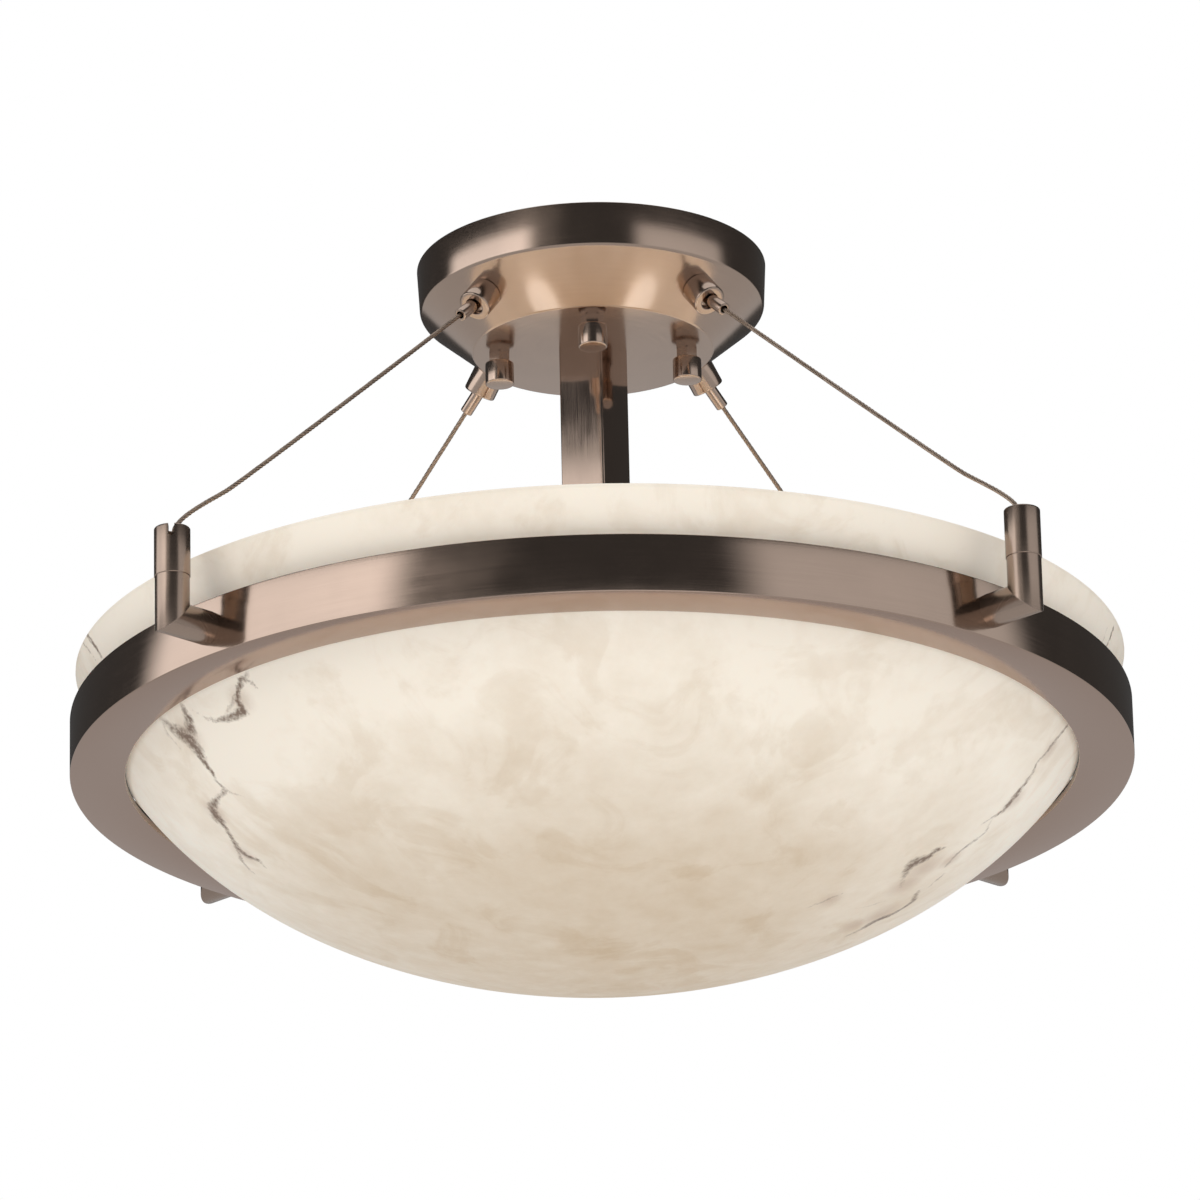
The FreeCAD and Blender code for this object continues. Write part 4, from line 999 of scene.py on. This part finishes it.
# The studio's two soft boxes, which only shiny surfaces show: azimuth from the front and half width
# in degrees, and brightness. Round them the walls are dark; below them a pale floor shines back. They
# fade out over an angle at the sides, and over a height at the bottom and the top.
SOFT_BOXES = ((-70.0, 25.0, 1.5), (60.0, 25.0, 0.7))
SOFT_BOX_SIDE_FADE = 12.0
SOFT_BOX_BOTTOM = -0.11
SOFT_BOX_BOTTOM_FADE = 0.03
SOFT_BOX_TOP = 0.36
SOFT_BOX_TOP_FADE = 0.02
WALL_GLOW = 0.06
FLOOR_GLOW = 0.5

# Each lamp's name, place, aim, size in metres and power in watts.
LAMPS = (("key", (-2.2, -2.6, 0.9), (0, 0, -0.2), 1.6, 30.0),
         ("fill", (2.6, -2.4, 0.4), (0, 0, -0.2), 2.0, 16.0),
         ("low", (0.3, -1.9, -2.0), (0, 0, -0.15), 1.6, 12.0))
LAMP_COLOUR = (1.0, 0.97, 0.93)
WALL_RADIUS = 1.2
WALL_HEIGHT = 3.0
WALL_MIDDLE = 0.2
FLOOR_HEIGHT = -6.5
FLOOR_HALF_WIDTH = 30.0


class LIGHT_OT_studio(bpy.types.Operator):
    """Sets up the camera, the pale floor and the soft studio light"""
    bl_idname = "ceiling_light.studio"
    bl_label = "Build Studio"

    def execute(self, context):
        scene = context.scene
        scene.view_settings.view_transform = "Standard"
        camera = in_scene("camera", bpy.data.cameras.new("camera"))
        camera.data.lens = LENS_MM
        camera.data.sensor_width = SENSOR_MM
        camera.data.clip_end = 100.0
        turn = Matrix((CAMERA_RIGHT, CAMERA_UP, CAMERA_BACK)).transposed().to_4x4()
        camera.matrix_world = Matrix.Translation(CAMERA_PLACE) @ turn
        scene.camera = camera
        self.world(scene)
        self.floor()
        self.walls()
        for name, place, aim, size, power in LAMPS:
            lamp = in_scene(name + "_light", bpy.data.lights.new(name + "_light", "AREA"))
            lamp.data.size = size
            lamp.data.energy = power
            lamp.data.color = LAMP_COLOUR
            lamp.location = place
            lamp.rotation_euler = (Vector(aim) - Vector(place)).to_track_quat("-Z", "Y").to_euler()
        return {"FINISHED"}

    @staticmethod
    def seen(graph):
        """One for what the camera, metal or glass sees, nothing for soft light."""
        path = graph.add("ShaderNodeLightPath").outputs
        return graph.math("ADD", graph.math("ADD", path["Is Camera Ray"], path["Is Glossy Ray"]),
                          path["Is Transmission Ray"], clamp=True)

    def world(self, scene):
        scene.world = bpy.data.worlds.new("studio")
        scene.world.use_nodes = True
        graph = Graph(scene.world.node_tree)
        strength = graph.spread(self.seen(graph), 0.0, 1.0, 0.75, 1.0, "LINEAR")
        sky = graph.add("ShaderNodeBackground", {"Color": (1, 1, 1, 1), "Strength": strength})
        graph.add("ShaderNodeOutputWorld", {"Surface": sky.outputs[0]})

    def floor(self):
        mesh = bmesh.new()
        bmesh.ops.create_grid(mesh, x_segments=4, y_segments=4, size=FLOOR_HALF_WIDTH)
        lifted(mesh, FLOOR_HEIGHT)
        data = bpy.data.meshes.new("floor")
        mesh.to_mesh(data)
        material, graph = new_finish("pale_floor")
        place = graph.place()
        tone = graph.blended(graph.noise(place, 0.4, 2.0), (0.83, 0.83, 0.825, 1), (0.87, 0.87, 0.865, 1))
        graph.surface({"Base Color": tone, "Roughness": 0.9})
        data.materials.append(material)
        floor = in_scene("floor", data)

    def walls(self):
        """Pale and dark walls near the light, which only its shiny surfaces show."""
        mesh = bmesh.new()
        bmesh.ops.create_cone(mesh, cap_ends=False, segments=128, radius1=WALL_RADIUS,
                              radius2=WALL_RADIUS, depth=WALL_HEIGHT)
        lifted(mesh, WALL_MIDDLE)
        data = bpy.data.meshes.new("studio_walls")
        mesh.to_mesh(data)
        material, graph = new_finish("studio_walls")
        place = graph.add("ShaderNodeSeparateXYZ", {0: graph.place()})
        azimuth = graph.math("ARCTAN2", place.outputs[0], graph.times(place.outputs[1], -1.0))
        height = place.outputs[2]
        boxes = 0.0
        for middle, half_width, brightness in SOFT_BOXES:
            away = graph.math("ABSOLUTE", graph.math("SUBTRACT", azimuth, math.radians(middle)))
            box = graph.spread(away, math.radians(half_width + SOFT_BOX_SIDE_FADE),
                               math.radians(half_width), 0.0, brightness)
            boxes = graph.math("ADD", boxes, box)
        above_floor = graph.spread(height, SOFT_BOX_BOTTOM - SOFT_BOX_BOTTOM_FADE,
                                   SOFT_BOX_BOTTOM + SOFT_BOX_BOTTOM_FADE)
        below_top = graph.spread(height, SOFT_BOX_TOP + SOFT_BOX_TOP_FADE, SOFT_BOX_TOP)
        boxes = graph.times(boxes, graph.times(above_floor, below_top))
        floor = graph.times(graph.math("SUBTRACT", 1.0, above_floor), FLOOR_GLOW)
        level = graph.math("ADD", graph.math("ADD", boxes, floor), WALL_GLOW)
        glow = graph.add("ShaderNodeEmission", {"Color": (1, 1, 1, 1), "Strength": level})
        graph.add("ShaderNodeOutputMaterial", {"Surface": glow.outputs[0]})
        data.materials.append(material)
        walls = in_scene("studio_walls", data)
        walls.visible_camera = walls.visible_diffuse = walls.visible_shadow = False
        walls.visible_transmission = walls.visible_volume_scatter = False


class LIGHT_PT_sidebar(bpy.types.Panel):
    bl_idname = "LIGHT_PT_sidebar"
    bl_label = "Ceiling Light"
    bl_space_type = "VIEW_3D"
    bl_region_type = "UI"
    bl_category = "Ceiling Light"

    def draw(self, context):
        for operator in OPERATORS:
            self.layout.operator(operator.bl_idname)
        for name, group in SETTINGS.items():
            box = self.layout.box()
            box.label(text=group.__name__)
            for field in group.__annotations__:
                box.prop(getattr(context.scene, name), field)


SETTINGS = {"canopy_sizes": CanopySizes, "stem_sizes": StemSizes, "ring_sizes": RingSizes,
            "bowl_sizes": BowlSizes, "post_sizes": PostSizes, "gripper_sizes": GripperSizes,
            "rope_sizes": RopeSizes, "finish_colours": FinishColours}
OPERATORS = (LIGHT_OT_canopy, LIGHT_OT_stem, LIGHT_OT_grippers, LIGHT_OT_ropes, LIGHT_OT_posts,
             LIGHT_OT_ring, LIGHT_OT_bowl, LIGHT_OT_fittings, LIGHT_OT_studio)


def register():
    for item in (*SETTINGS.values(), *OPERATORS, LIGHT_PT_sidebar):
        bpy.utils.register_class(item)
    for name, group in SETTINGS.items():
        setattr(bpy.types.Scene, name, PointerProperty(type=group))


def unregister():
    for name in SETTINGS:
        delattr(bpy.types.Scene, name)
    for item in reversed((*SETTINGS.values(), *OPERATORS, LIGHT_PT_sidebar)):
        bpy.utils.unregister_class(item)


def main():
    register()
    bpy.ops.ceiling_light.canopy()
    bpy.ops.ceiling_light.stem()
    bpy.ops.ceiling_light.grippers()
    bpy.ops.ceiling_light.ropes()
    bpy.ops.ceiling_light.posts()
    bpy.ops.ceiling_light.ring()
    bpy.ops.ceiling_light.bowl()
    bpy.ops.ceiling_light.fittings()
    bpy.ops.ceiling_light.studio()


if __name__ == "__main__":
    main()
